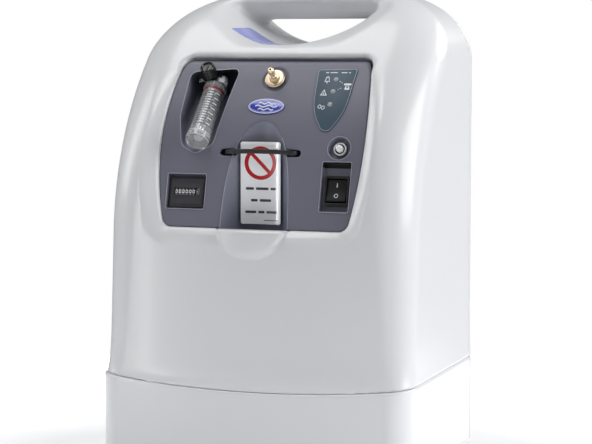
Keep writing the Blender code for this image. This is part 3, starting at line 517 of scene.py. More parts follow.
def bump(tree, shader, source, height):
    node = tune(tree.nodes.new("ShaderNodeBump"), Strength=1.0, Distance=height)
    tree.links.new(source, node.inputs["Height"])
    tree.links.new(node.outputs["Normal"], shader.inputs["Normal"])


def surface(
    name,
    dark,
    light,
    rough,
    patch=60.0,
    grain=1500.0,
    relief=10,
    metallic=0.0,
    coat=0.0,
    stretch=(1.0, 1.0, 1.0),
    specular=0.5,
):
    """Slow colour drift, uneven gloss and a fine grain, its relief in thousandths of a millimetre."""
    material = bpy.data.materials.new(name)
    material.use_nodes = True
    tree, shader = nodes_of(material)
    tune(shader, Metallic=metallic, Coat_Weight=coat, Coat_Roughness=0.12, Specular_IOR_Level=specular)
    drift = noise(tree, patch, 4.0)
    tree.links.new(ramp(tree, drift, dark, light), shader.inputs["Base Color"])
    smears = noise(tree, patch * 3.7, 5.0, 0.6, stretch)
    tree.links.new(ramp(tree, smears, *rough), shader.inputs["Roughness"])
    bump(tree, shader, noise(tree, grain, 2.0, 0.5, stretch), relief / 1e6)
    return material


def clear_plastic(name):
    """Clear acrylic, with a faint haze that comes and goes."""
    material = surface(name, (0.93, 0.95, 0.96), (0.98, 0.985, 0.99), (0.02, 0.07), 30.0, 700.0, 4)
    tune(nodes_of(material)[1], Transmission_Weight=0.8, IOR=1.49)
    return material


def build_materials():
    made = {}

    def add(name, *args, **more):
        made[name] = surface(name, *args, **more)

    add("white", (0.69, 0.695, 0.715), (0.71, 0.715, 0.73), (0.27, 0.31), 5.0, 420.0, 12, coat=0.2)
    add("panel", (0.148, 0.148, 0.194), (0.165, 0.165, 0.213), (0.36, 0.45), 9.0, 1500.0, 60, specular=0.36)
    # painted light: a lighter copy of the panel's grey for the insides of the humidifier bay and the flowmeter's
    # pocket, standing in for the light that they catch
    add("bay", (0.19, 0.202, 0.262), (0.208, 0.22, 0.282), (0.34, 0.42), 9.0, 1500.0, 50)
    # painted highlight: a lighter, glossier grey than the panel, for the strips along the rims of its openings where
    # their rounded edges catch the light
    add("edge", (0.34, 0.35, 0.42), (0.39, 0.40, 0.47), (0.16, 0.24), 40.0, 1500.0, 10)
    add("matt_black", (0.006, 0.006, 0.007), (0.012, 0.012, 0.013), (0.45, 0.55), 40.0, 1400.0, 30, specular=0.3)
    add("black", (0.008, 0.008, 0.009), (0.018, 0.018, 0.02), (0.25, 0.4), 40.0, 1400.0, 30)
    add("black_gloss", (0.006, 0.006, 0.007), (0.012, 0.012, 0.014), (0.16, 0.26), 40.0, 900.0, 10)
    add("dark_grey", (0.022, 0.022, 0.028), (0.032, 0.032, 0.04), (0.35, 0.5), 30.0, 1500.0, 40)
    add("rubber", (0.02, 0.02, 0.021), (0.035, 0.035, 0.037), (0.6, 0.8), 60.0, 1200.0, 80)
    add("tread", (0.05, 0.05, 0.052), (0.08, 0.08, 0.083), (0.5, 0.7), 60.0, 1000.0, 80)
    add("steel", (0.5, 0.5, 0.51), (0.62, 0.62, 0.63), (0.22, 0.38), 30.0, 700.0, 30, 1.0, stretch=(1, 1, 14))
    add("chrome", (0.78, 0.78, 0.79), (0.88, 0.88, 0.89), (0.07, 0.16), 60.0, 900.0, 10, 1.0)
    add("aluminium", (0.55, 0.56, 0.57), (0.68, 0.69, 0.7), (0.35, 0.5), 40.0, 900.0, 100, 1.0)
    add("brass", (0.72, 0.57, 0.38), (0.86, 0.73, 0.54), (0.34, 0.46), 90.0, 1300.0, 40, 1.0)
    add("copper", (0.55, 0.25, 0.14), (0.75, 0.38, 0.24), (0.25, 0.4), 50.0, 800.0, 40, 1.0)
    add("foam", (0.02, 0.02, 0.022), (0.06, 0.06, 0.065), (0.85, 0.95), 120.0, 650.0, 600)
    add("canister", (0.62, 0.62, 0.6), (0.7, 0.7, 0.68), (0.4, 0.55), 25.0, 800.0, 50)
    add("board", (0.012, 0.13, 0.05), (0.02, 0.18, 0.07), (0.3, 0.45), 90.0, 1500.0, 50)
    add("button", (0.78, 0.79, 0.8), (0.85, 0.86, 0.86), (0.1, 0.18), 60.0, 900.0, 10, coat=0.6)
    add("window", (0.052, 0.086, 0.122), (0.062, 0.100, 0.138), (0.42, 0.5), 30.0, 1500.0, 10, specular=0.35)
    add("blue", (0.035, 0.05, 0.42), (0.05, 0.07, 0.5), (0.16, 0.24), coat=0.5)
    add("decal", (0.19, 0.22, 0.60), (0.42, 0.45, 0.80), (0.18, 0.26), 30.0, 1500.0, 10, coat=0.4)
    add("lamp", (0.26, 0.28, 0.31), (0.42, 0.44, 0.47), (0.25, 0.4), 900.0, 1700.0, 50)
    add("card", (0.93, 0.94, 0.975), (0.96, 0.965, 0.985), (0.06, 0.1), 14.0, 1200.0, 3)
    add("red", (0.48, 0.012, 0.018), (0.56, 0.02, 0.026), (0.2, 0.3), coat=0.4)
    add("ink", (0.03, 0.03, 0.04), (0.06, 0.06, 0.075), (0.3, 0.4))
    # painted highlight: a milky white standing in for the bright glints in the clear acrylic at the tube's foot and in
    # its top cap
    add("pale_glint", (0.55, 0.57, 0.60), (0.68, 0.70, 0.73), (0.06, 0.16), 90.0, 900.0, 10, coat=0.8)
    add("digit", (0.93, 0.93, 0.92), (0.98, 0.98, 0.97), (0.3, 0.4))
    add("print", (0.62, 0.66, 0.70), (0.70, 0.73, 0.77), (0.25, 0.35))
    add("rim_line", (0.36, 0.40, 0.46), (0.44, 0.48, 0.54), (0.25, 0.35))
    add("grey_print", (0.035, 0.035, 0.05), (0.07, 0.07, 0.09), (0.25, 0.35), 220.0, 1500.0, 10)
    add("strap", (0.010, 0.010, 0.012), (0.022, 0.022, 0.026), (0.35, 0.5), 60.0, 1300.0, 50)
    add("ring_ink", (0.03, 0.035, 0.045), (0.06, 0.065, 0.075), (0.2, 0.3))
    add("red_band", (0.20, 0.02, 0.025), (0.27, 0.03, 0.035), (0.2, 0.3))
    add("drum_pale", (0.62, 0.62, 0.60), (0.70, 0.70, 0.68), (0.3, 0.4))
    add("hose", (0.60, 0.62, 0.62), (0.68, 0.70, 0.70), (0.3, 0.4), 40.0, 900.0, 30)
    made["acrylic"] = clear_plastic("acrylic")
    return made


looks = build_materials()


# ---- cabinet pieces


def build_front():
    xs = spans(-1.0, (1.0, 2.0), (35.0, 3.4), (47.0, 1.3), (95.0, 4.0), (150.0, 1.9), (193.0, 3.0))
    ys = spans(-156.0, (-100.0, 2.0), (-40.0, 2.6), (60.0, 3.4), (126.0, 2.6))
    zs = spans(120.0, (142.0, 1.6), (258.0, 7.5), (330.0, 2.0), (474.0, 4.5), (587.0, 2.1))
    shell("cabinet_front", "front_cabinet", front_solid, front_hidden, (xs, ys, zs), SHELL_WALL)


# centre, width and height, corner radius and floor of the pockets in the rear, then of the ways through them
REAR_BAYS = (
    (FILTER_AT, (160.0, 130.0), 5.0, 140.0),
    (EXHAUST_AT, (128.0, 58.0), 4.0, 146.0),
    (GLAND_AT, (44.0, 44.0), 6.0, 138.0),
)
REAR_WAYS = ((FILTER_AT, (140.0, 110.0), 3.0, 140.0), (EXHAUST_AT, (112.0, 42.0), 3.0, 146.0))


def rear_solid(x, y, z):
    body = holed(x, y, z)
    for centre, size, radius, floor in REAR_BAYS:
        pocket = round_max(flat_box(x, z, centre, size, radius), floor - y, 1.0)
        body = round_max(body, -pocket, 1.2)
    body = round_max(body, FOOT_Z - z, 1.5)
    return round_max(body, SPLIT_Y + 0.2 - y, 0.6)


def rear_hidden(x, y, z):
    gone = (z < FOOT_Z + 0.1) | (y < SPLIT_Y + 0.25)
    for centre, size, radius, floor in REAR_WAYS:
        gone |= (flat_box(x, z, centre, size, radius) < 0) & (y < floor + 1.0)
    return gone | ((np.hypot(x - GLAND_AT[0], z - GLAND_AT[1]) < 8.6) & (y < 139.0))


def build_rear():
    left = ((-178.0, 2.5), (-84.0, 4.5), (-76.0, 1.6), (-66.0, 2.5))
    xs = spans(-193.0, *left, (66.0, 4.5), (84.0, 2.0), (193.0, 2.6))
    ys = spans(122.0, (155.0, 1.7))
    low = ((36.0, 1.8), (72.0, 3.5), (138.0, 2.0), (246.0, 6.0), (254.0, 1.8))
    zs = spans(27.0, *low, (376.0, 4.0), (384.0, 1.8), (500.0, 6.0), (587.0, 2.2))
    shell("cabinet_rear", "rear_cabinet", rear_solid, rear_hidden, (xs, ys, zs), REAR_WALL, mirror=False)


def skirt_solid(x, y, z):
    reach = HALF_WIDTH - SKIRT_RADIUS
    bow = (SKIRT_MIDDLE_Y - SKIRT_CORNER_Y) * np.maximum(0.0, 1.0 - (x / reach) ** 2)
    plan = round_max(np.abs(x) - HALF_WIDTH, SKIRT_CORNER_Y + bow - y, SKIRT_RADIUS)
    body = round_max(plan, z - seam_z(x, y) + seam_gap(y), mix(0.2, 1.3, faces_front(y)))
    body = round_max(body, FOOT_Z - z, 1.5)
    return round_max(body, y - SPLIT_Y + 0.2, 0.6)


def skirt_hidden(x, y, z):
    inner = (np.abs(x) < HALF_WIDTH - 16.0) & (y > SKIRT_CORNER_Y + 16.0) & (z > 100.0)
    return inner | (z < FOOT_Z + 0.1) | (y > SPLIT_Y - 0.25)


def build_skirt():
    xs = spans(-1.5, (1.5, 3.0), (150.0, 5.0), (193.0, 2.4))
    ys = spans(-156.0, (-112.0, 2.2), (118.0, 7.0), (126.0, 1.8))
    zs = spans(27.0, (34.0, 1.6), (116.0, 6.5), (136.0, 1.3))
    shell("skirt", "base_skirt", skirt_solid, skirt_hidden, (xs, ys, zs), SHELL_WALL)


# ---- control panel


def panel_frame(at, out=0.0):
    """Local X to the right, Y up along the panel and Z out of its surface, in millimetres."""
    x, z = at
    side = Vector((1, 0, 0))
    up = Vector((0, panel_slope(z), 1)).normalized()
    outward = side.cross(up)
    placed = Matrix((side, up, outward)).transposed().to_4x4()
    placed.translation = Vector((x, panel_y(z), z)) + outward * out
    return placed


def local(placed, x, y, z):
    """World points in a frame's own coordinates."""
    back = placed.inverted()
    return tuple(back[k][0] * x + back[k][1] * y + back[k][2] * z + back[k][3] for k in range(3))


def polygon(points):
    """Distance outside a closed outline in the front view."""
    pairs = list(zip(points, points[1:] + points[:1]))

    @in_front_view
    def distance(x, z):
        nearest = np.full(np.shape(x), 1e9)
        inside = np.zeros(np.shape(x), bool)
        for (ax, az), (bx, bz) in pairs:
            ex, ez = bx - ax, bz - az
            share = np.clip(((x - ax) * ex + (z - az) * ez) / (ex * ex + ez * ez), 0.0, 1.0)
            nearest = np.minimum(nearest, (x - ax - share * ex) ** 2 + (z - az - share * ez) ** 2)
            crosses = (az > z) != (bz > z)
            inside ^= crosses & (x < ex * (z - az) / (ez if ez else 1e-9) + ax)
        return np.where(inside, -1.0, 1.0) * np.sqrt(nearest)

    return distance


def rounded(corners, radii, steps=6):
    """An outline with each corner replaced by an arc of its own radius."""
    line = []
    count = len(corners)
    for i, corner in enumerate(corners):
        here = Vector(corner)
        before = (Vector(corners[i - 1]) - here).normalized()
        after = (Vector(corners[(i + 1) % count]) - here).normalized()
        half = before.angle(after) / 2
        radius = radii[i] if hasattr(radii, "__len__") else radii
        middle = here + (before + after).normalized() * (radius / math.sin(half))
        start = here + before * (radius / math.tan(half)) - middle
        end = here + after * (radius / math.tan(half)) - middle
        for step in range(steps + 1):
            spoke = start.slerp(end, step / steps, start)
            line.append(tuple(middle + spoke.normalized() * radius))
    return line


def rectangle(wide, tall, radius, centre=(0.0, 0.0), steps=6):
    x, y = centre
    corners = [(x - wide / 2, y - tall / 2), (x + wide / 2, y - tall / 2)]
    corners += [(x + wide / 2, y + tall / 2), (x - wide / 2, y + tall / 2)]
    return rounded(corners, radius, steps)


def oval(wide, tall, centre=(0.0, 0.0), steps=48):
    turns = [2 * math.pi * i / steps for i in range(steps)]
    return [(centre[0] + wide / 2 * math.cos(t), centre[1] + tall / 2 * math.sin(t)) for t in turns]


def disc(radius, centre=(0.0, 0.0), steps=32):
    return oval(2 * radius, 2 * radius, centre, steps)


METER_TOP = Vector((-76.0, -52.0, 466.0))
METER_FOOT = Vector((-76.0, -113.0, 404.0))
METER_LENGTH = (METER_TOP - METER_FOOT).length
METER_UP = (METER_TOP - METER_FOOT).normalized()
METER_BAY = ((-104, 485), (-43, 489), (-60, 402), (-80, 392), (-98, 400), (-105.6, 434))
METER_BAY_RADII = (8, 6, 16, 12, 14, 40)
meter_rim = polygon(rounded(METER_BAY, METER_BAY_RADII, 3))
BADGE_AT = (-0.6, 446.0)
OUTLET = panel_frame((3.4, 477.0))
BREAKER = panel_frame((95.3, 400.5))
SWITCH_WELL = panel_frame((95.0, 357.3))
SWITCH = panel_frame((96.0, 353.8))
HOURS = panel_frame((-86.8, 348.5))
SWITCH_BAY = (34.0, 57.0)
HOURS_BAY = (47.5, 40.5)
# frame, width and height, depth, corner radius
SHALLOW_WELLS = ((SWITCH_WELL, SWITCH_BAY, 7.0, 2.0), (HOURS, HOURS_BAY, 7.0, 1.5))
DEEP_WELLS = ((SWITCH, (27.6, 33.6), 14.0, 1.0), (HOURS, (40.6, 28.6), 14.0, 1.0))
# frame, radius, depth, width of the cone at its mouth
ROUND_WELLS = ((BREAKER, 11.6, 6.0, 1.9), (BREAKER, 7.8, 12.0, 0.3), (OUTLET, 6.4, 12.0, 0.3))


def panel_face(x, y, z):
    """Distance in front of the panel's curled face, which is dimpled round the outlet."""
    dimple_x, _, dimple_z = OUTLET.translation
    away = np.hypot(x - dimple_x, (z - dimple_z) * 1.15)
    dimple = 2.6 * smooth_step(17.0, 11.5, away)
    return (panel_y(z) + dimple - y) / np.sqrt(1.0 + panel_slope(z) ** 2)


def meter_pocket(x, y, z):
    """Inside the flowmeter's bay, whose floor runs along the tube, 16 behind its axis."""
    start_y = METER_FOOT.y + 16.0 * METER_UP.z
    start_z = METER_FOOT.z - 16.0 * METER_UP.y
    back = (y - start_y) * METER_UP.z - (z - start_z) * METER_UP.y
    return round_max(meter_rim(x, z), back, 4.0)


def panel_solid(x, y, z):
    """The control panel before it is hollowed from behind, with its bays, wells and slots."""
    edge = mix(1.0, 5.0, smooth_step(482.0, 500.0, z))
    trim = mix(0.0, 1.2, smooth_step(480.0, 500.0, z))
    body = round_max(panel_rim(x, z) + trim, panel_face(x, y, z), edge)
    around = bay_rim(x, y)
    below = np.maximum(around - BAY_WALL, BAY_FLOOR_Z - BAY_WALL - z)
    below = np.maximum(np.maximum(below, z - PANEL_LOW_Z - 6.0), panel_y(z) + 0.4 - y)
    body = np.minimum(body, below)
    body = round_max(body, -round_max(around, BAY_FLOOR_Z - z, 3.0), 1.6)
    body = round_max(body, -meter_pocket(x, y, z), 1.0)
    for placed, size, deep, radius in SHALLOW_WELLS + DEEP_WELLS:
        u, v, w = local(placed, x, y, z)
        pocket = np.maximum(flat_box(u, v, (0.0, 0.0), size, radius), -deep - w)
        body = round_max(body, -pocket, 0.8)
    for placed, radius, deep, cone in ROUND_WELLS:
        u, v, w = local(placed, x, y, z)
        pocket = np.hypot(u, v) - radius - cone * np.clip(w / deep + 1.0, 0.0, 1.0)
        body = round_max(body, -np.maximum(pocket, -deep - w), 0.8)
    for side in (-STRAP_SLOT_X, STRAP_SLOT_X):
        slot = flat_box(x, z, (side, STRAP_SLOT_Z), (20.0, 7.8), 3.7)
        body = round_max(body, -np.maximum(slot, y + 84.0), 0.9)
    return body


def panel_hidden(x, y, z):
    """Floors of the through holes, and the sides behind the panel's edge."""
    outside_bay = bay_rim(x, y) > 1.2
    gone = (panel_rim(x, z) > -1.0) & (y > panel_y(z) + 3.5)
    gone &= (z > 310.0) | (np.abs(x) > 45.0) | outside_bay
    gone |= (z < PANEL_LOW_Z - 0.5) & (outside_bay | (z < BAY_FLOOR_Z - 1.0))
    for placed, (wide, tall), deep, _ in DEEP_WELLS:
        u, v, w = local(placed, x, y, z)
        gone |= (np.abs(u) < wide / 2 - 0.3) & (np.abs(v) < tall / 2 - 0.3) & (w < 1.5 - deep)
    for placed, radius, deep, _ in ROUND_WELLS[1:]:
        u, v, w = local(placed, x, y, z)
        gone |= (np.hypot(u, v) < radius) & (w < 1.5 - deep)
    slot = (np.abs(np.abs(x) - STRAP_SLOT_X) < 9.8) & (np.abs(z - STRAP_SLOT_Z) < 3.6) & (y > -85.0)
    return gone | slot | (y > -3.0)


def build_panel():
    grid = (spans(-127.0, (127.0, 1.25)), spans(-150.0, (-132.0, 3.0), (-2.0, 1.6)), spans(294.5, (502.0, 1.25)))
    names = ("panel", "control_panel", panel_solid, panel_hidden)
    piece = shell(*names, grid, PANEL_WALL, look="panel", slot="panel_grey", mirror=False)
    piece.data.materials.append(looks["bay"])
    piece.data.materials.append(looks["matt_black"])
    # painted light: faces inside the humidifier bay and the flowmeter's pocket take the lighter bay grey, standing in
    # for the light that their insides catch
    x, y, z = np.array([face.center / MM for face in piece.data.polygons]).T
    behind = y - panel_y(z)
    in_bay = (bay_rim(x, y) < 0.3) & (behind > 0.6)
    in_pocket = (meter_rim(x, z) < 0.5) & (behind > 1.2)
    # painted shadow: the strip under the top edge of the switch's bay takes the matt black look, where that edge casts
    # its shadow
    u, v, w = local(SWITCH_WELL, x, y, z)
    painted_shadow_strip = (np.abs(u) < 17.5) & (np.abs(v - 26.2) < 3.0) & (w < -1.0)
    numbers = np.where(painted_shadow_strip, 2, in_bay | in_pocket)
    piece.data.polygons.foreach_set("material_index", numbers.astype(np.int32))


# ---- turned, swept and pressed pieces


def shift(x, y, z):
    return Matrix.Translation((x, y, z))


def spun(degrees, axis):
    return Matrix.Rotation(math.radians(degrees), 4, axis)


def both_ways(half):
    """A profile of (radius, height) points that goes on as its own reflection in height 0."""
    return half + [(radius, -height) for radius, height in reversed(half)]


class Piece:
    """Several worked shapes gathered in one mesh, in millimetres."""

    def __init__(self):
        self.bm = bmesh.new()
        self.looks = []

    def take(self, part, look, placed=None):
        if look not in self.looks:
            self.looks.append(look)
        number = self.looks.index(look)
        if placed is not None:
            part.transform(placed)
        for face in part.faces:
            face.material_index = number
            face.smooth = True
        mesh = bpy.data.meshes.new("part")
        part.to_mesh(mesh)
        part.free()
        self.bm.from_mesh(mesh)
        bpy.data.meshes.remove(mesh)
        return self

    def box(self, size, look, centre=(0, 0, 0), placed=None, edge=0.5, segments=2):
        part = bmesh.new()
        bmesh.ops.create_cube(part, size=1.0, matrix=Matrix.Translation(centre) @ Matrix.Diagonal((*size, 1.0)))
        bmesh.ops.bevel(part, geom=part.edges[:], offset=edge, segments=segments, profile=0.5, affect="EDGES")
        return self.take(part, look, placed)

    def lathe(self, profile, look, placed=None, steps=40):
        """A closed profile of (radius, height) points turned about Z. Points on the axis become poles."""
        part = bmesh.new()
        rings = []
        for radius, height in profile:
            if radius <= 1e-6:
                rings.append([part.verts.new((0.0, 0.0, height))])
                continue
            turns = [2 * math.pi * i / steps for i in range(steps)]
            rings.append([part.verts.new((radius * math.cos(t), radius * math.sin(t), height)) for t in turns])
        open_ended = len(rings[0]) == 1 and len(rings[-1]) == 1
        pairs = list(zip(rings, rings[1:])) + ([] if open_ended else [(rings[-1], rings[0])])
        for low, high in pairs:
            for i in range(steps):
                j = (i + 1) % steps
                loop = [low[i % len(low)], low[j % len(low)], high[j % len(high)], high[i % len(high)]]
                corners = list(dict.fromkeys(loop))
                if len(corners) > 2:
                    part.faces.new(corners)
        bmesh.ops.recalc_face_normals(part, faces=part.faces)
        return self.take(part, look, placed)

    def press(self, outline, low, high, look, placed=None, edge=0.0, holes=()):
        """A flat outline, with holes, between two heights along Z."""
        part = bmesh.new()
        lines = []
        for line in (outline, *holes):
            ring = [part.verts.new((x, y, high)) for x, y in line]
            lines += [part.edges.new((a, b)) for a, b in zip(ring, ring[1:] + ring[:1])]
        if holes:
            bmesh.ops.triangle_fill(part, edges=lines, use_beauty=True)
        else:
            part.faces.new(part.verts)
        top = list(part.faces)
        pushed = bmesh.ops.extrude_face_region(part, geom=top)["geom"]
        for item in pushed:
            if isinstance(item, bmesh.types.BMVert):
                item.co.z = low
        bmesh.ops.recalc_face_normals(part, faces=part.faces)
        if edge:
            sharp = [e for e in part.edges if len(e.link_faces) == 2 and e.calc_face_angle() > 1.2]
            bmesh.ops.bevel(part, geom=sharp, offset=edge, segments=2, profile=0.5, affect="EDGES")
        return self.take(part, look, placed)

    def sweep(self, path, section, look, placed=None, side=None):
        """A closed section of (across, up) points carried along a path. side fixes which way across points."""
        part = bmesh.new()
        path = [Vector(p) for p in path]
        rings = []
        for i, point in enumerate(path):
            along = (path[min(i + 1, len(path) - 1)] - path[max(i - 1, 0)]).normalized()
            hint = Vector(side) if side else Vector((0, 0, 1))
            across = hint.cross(along).normalized()
            up = along.cross(across)
            rings.append([part.verts.new(point + across * u + up * v) for u, v in section])
        for low, high in zip(rings, rings[1:]):
            for i in range(len(section)):
                j = (i + 1) % len(section)
                part.faces.new((low[i], low[j], high[j], high[i]))
        part.faces.new(list(reversed(rings[0])))
        part.faces.new(rings[-1])
        bmesh.ops.recalc_face_normals(part, faces=part.faces)
        return self.take(part, look, placed)

    def slice_up(self, axis, step):
        """Cuts everything across an axis at even steps, so that it can be bent."""
        normal = Vector((axis == 0, axis == 1, axis == 2))
        heights = [vert.co[axis] for vert in self.bm.verts]
        for count in range(1, math.ceil((max(heights) - min(heights)) / step)):
            spot = normal * (min(heights) + step * count)
            parts = self.bm.verts[:] + self.bm.edges[:] + self.bm.faces[:]
            bmesh.ops.bisect_plane(self.bm, geom=parts, dist=1e-5, plane_co=spot, plane_no=normal)
        return self

    def warp(self, function):
        """Moves every vertex, given and returned in millimetres."""
        for vert in self.bm.verts:
            vert.co = Vector(function(*vert.co))
        return self

    def done(self, name, slot, *replaced, body=ROOT, angle=40):
        bmesh.ops.scale(self.bm, vec=(MM, MM, MM), verts=self.bm.verts)
        mesh = bpy.data.meshes.new(name)
        self.bm.to_mesh(mesh)
        self.bm.free()
        mesh.set_sharp_from_angle(angle=math.radians(angle))
        for look in self.looks:
            mesh.materials.append(looks[look])
        obj = link(name, mesh)
        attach(obj, body)
        if replaced:
            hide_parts(*replaced)
        return obj


# ---- panel fittings


def on_panel(thick):
    """Carries a flat film whose X and Y are the front view's onto the curled panel, thick proud."""

    def lay(x, y, z):
        spot = panel_frame((x, y), thick + z)
        return spot.translation

    return lay


def build_window():
    piece = Piece()
    corners = ((54, 488.5), (102.5, 489.6), (97, 441), (75.5, 411.5), (56.5, 441))
    outline = fine_outline(rounded(corners, (2, 2, 60, 9, 60), 8))
    piece.press(outline, 0.0, 0.7, "window", edge=0.25)
    inner = [(78.0 + (x - 78.0) * 0.965, 456.0 + (z - 456.0) * 0.978) for x, z in outline]
    border = [(78.0 + (x - 78.0) * 0.945, 456.0 + (z - 456.0) * 0.966) for x, z in outline]
    piece.press(inner, 0.7, 0.8, "rim_line", holes=[border])
    bell = [(-3.6, -2.6), (-2.6, -1.6), (-2.3, 1.6), (-0.9, 3.2)]
    bell += [(-x, y) for x, y in reversed(bell)]
    bell_in = [(x * 0.68, -0.15 + y * 0.68) for x, y in bell]
    three = [(-4.2, -3.2), (4.2, -3.2), (0.0, 3.8)]
    three_in = [(-2.5, -2.2), (2.5, -2.2), (0.0, 2.0)]
    handset = rounded([(-3.4, -3.0), (3.4, -3.0), (2.2, 1.2), (-2.2, 1.2)], 0.7, 4)
    ring = disc(2.2, steps=24)
    ring_in = disc(1.4, steps=24)
    symbols = (
        (bell, (67.9, 477.0), [bell_in]),
        (disc(0.8, steps=12), (67.9, 473.4), []),
        (three, (66.7, 462.0), [three_in]),
        (disc(0.75, steps=12), (66.7, 460.9), []),
        (ring, (64.6, 446.3), [ring_in]),
        (ring, (68.9, 445.2), [ring_in]),
        (rectangle(9.0, 2.2, 1.0), (93.6, 471.4), []),
        (handset, (93.6, 468.4), [disc(1.1, steps=14)]),
    )
    for shape, at, holes in symbols:
        mark(piece, shape, at, holes=holes)
    for start, end in (((82.4, 475.4), (87.6, 472.6)), ((82.0, 465.0), (87.0, 467.6))):
        for share in (0.12, 0.62):
            low = Vector(start).lerp(Vector(end), share)
            high = Vector(start).lerp(Vector(end), share + 0.3)
            across = (high - low).normalized().orthogonal() * 0.28
            mark(piece, [tuple(low - across), tuple(high - across), tuple(high + across), tuple(low + across)], (0, 0))
    for x, wide in ((66.0, 3.6), (74.0, 9.0), (86.5, 7.0), (93.2, 2.2)):
        mark(piece, rectangle(wide, 0.9, 0.4, steps=3), (x, 484.6))
    piece.slice_up(1, 3.0).warp(on_panel(0.3))
    piece.done("indicator_film", "window_film", "indicator_window")
    dome = [(0, 2.1), (1.6, 2.0), (2.6, 1.6), (3.0, 1.0), (3.0, 0.5), (0, 0.5)]
    for name, at in (("alarm", (78.0, 477.0)), ("caution", (77.4, 463.5)), ("purity", (76.8, 449.0))):
        lens = Piece()
        lens.lathe(dome, "lamp", panel_frame(at), 28)
        lens.done("lens_" + name, "lamp_lens", "lamp_" + name)


def fine_outline(points, reach=4.0):
    """The same outline with no edge longer than reach, so that it can follow a curved surface."""
    line = []
    for (ax, az), (bx, bz) in zip(points, points[1:] + points[:1]):
        count = max(1, math.ceil(math.hypot(bx - ax, bz - az) / reach))
        line += [(ax + (bx - ax) * i / count, az + (bz - az) * i / count) for i in range(count)]
    return line


def mark(piece, outline, at, look="print", low=0.7, high=0.85, holes=()):
    def moved(line):
        return [(x + at[0], y + at[1]) for x, y in line]

    piece.press(moved(outline), low, high, look, holes=[moved(h) for h in holes])


def grow(line, amount):
    """A closed outline moved outwards by an amount."""
    moved = []
    for i, point in enumerate(line):
        here = Vector(point)
        along = (Vector(line[(i + 1) % len(line)]) - Vector(line[i - 1])).normalized()
        moved.append(tuple(here + Vector((along.y, -along.x)) * amount))
    return moved


def rim(piece, line, placed=None, near=0.2, far=0.95, proud=0.32):
    """A narrow raised strip around an opening, from near to far outside its line, in the lighter edge look as a
    painted highlight.
    """
    if sum(a[0] * b[1] - b[0] * a[1] for a, b in zip(line, line[1:] + line[:1])) < 0:
        line = line[::-1]
    piece.press(grow(line, far), 0.0, proud, "edge", placed, holes=[grow(line, near)])


def build_rim_highlights():
    """The moulded edges of the openings in the panel, glossier and lighter than its face: painted highlights along the
    rims.
    """
    curled = Piece()
    rim(curled, fine_outline(rounded(METER_BAY, METER_BAY_RADII, 8)))
    curled.slice_up(1, 3.0).warp(on_panel(0.0))
    for side in (-1.0, 1.0):
        route = []
        for z in np.arange(309.0, 412.0, 3.0):
            reach = BAY_RADIUS**2 - (float(panel_y(z)) - BAY_AXIS_Y) ** 2
            if reach > 25.0:
                route.append(Vector((side * (math.sqrt(reach) + 0.35), float(panel_y(z)) + 0.1, z)))
        curled.sweep(route, disc(0.4, steps=8), "edge", side=(0, 1, 0))
    for at, size in ((SWITCH_WELL, SWITCH_BAY), (HOURS, HOURS_BAY)):
        rim(curled, rectangle(*size, 1.6), at)
    rim(curled, disc(13.4, steps=56), BREAKER)
    curled.done("panel_rim_highlights", "panel_grey", "control_panel")


def build_badge():
    piece = Piece()
    piece.press(oval(45.0, 18.0, BADGE_AT), 0.0, 0.9, "blue", edge=0.3)
    mark(piece, oval(43.6, 16.6), BADGE_AT, low=0.9, high=1.0, holes=[oval(41.4, 14.4)])
    mark(piece, oval(39.8, 12.8), BADGE_AT, low=0.9, high=1.0, holes=[oval(39.2, 12.2)])
    for wave in (-3.4, 0.0, 3.4):
        half = 13.5 - 0.35 * wave * wave
        top = [(half * i / 14, wave + 0.75 + 0.9 * math.sin(math.pi * i / 7)) for i in range(-14, 15)]
        foot = [(x, y - 1.5) for x, y in reversed(top)]
        mark(piece, top + foot, BADGE_AT, low=0.9, high=1.0)
    piece.slice_up(1, 2.0).warp(on_panel(0.3))
    piece.done("badge", "badge_film", "panel_badge")


LEAF_BACK = ((-77.6, 4.2), (-74.3, 9.0), (-70.5, 15.5), (-67.8, 24.0), (-66.3, 36.0), (-61.2, 38.5))
LEAF_BACK += ((-54.2, 37.2), (-44.0, 31.0), (-31.3, 17.8), (-16.8, -0.3), (1.3, -22.0))
LEAF_FRONT = ((-77.6, 3.6), (-71.1, 0.4), (-62.8, -4.2), (-51.0, -11.3), (-39.0, -19.2), (-27.5, -26.1))
LEAF_FRONT += ((-16.9, -27.2), (-7.4, -25.7), (1.3, -22.4))


def leaf_height(x, y, proud=0.35, step=0.25):
    """Where a straight line down from the hand hole meets its floor."""
    heights = np.arange(560.0, 500.0, -step)
    gap = holed(np.full(heights.shape, x), np.full(heights.shape, y), heights) - proud
    if not (gap < 0).any():
        return 510.0
    first = int(np.argmax(gap < 0))
    above, below = gap[first - 1 : first + 1]
    return heights[first - 1] - step * above / (above - below)


def build_decal():
    """A pale blue leaf on the floor of the hand hole, lapping over its front edge."""
    rows = 60
    columns = 16
    verts = []
    for i in range(rows + 1):
        x = mix(LEAF_BACK[0][0], LEAF_BACK[-1][0], i / rows)
        back = np.interp(x, [at for at, _ in LEAF_BACK], [y for _, y in LEAF_BACK])
        front = np.interp(x, [at for at, _ in LEAF_FRONT], [y for _, y in LEAF_FRONT])
        for j in range(columns + 1):
            y = mix(front, back, j / columns)
            verts.append((x, y, leaf_height(x, y)))
    verts = np.array(verts)
    across = columns + 1
    faces = []
    for i in range(rows):
        for j in range(columns):
            low = i * across + j
            faces.append((low, low + 1, low + across + 1, low + across))
    piece = new_object("leaf", verts, faces, "decal")
    if piece.data.polygons[0].normal.z < 0:
        piece.data.flip_normals()
    thicken(piece, 0.3)
    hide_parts("handle_badge")


CARD_Y = -101.0
CARD_Z = 358.7
CARD_BEND = 150.0


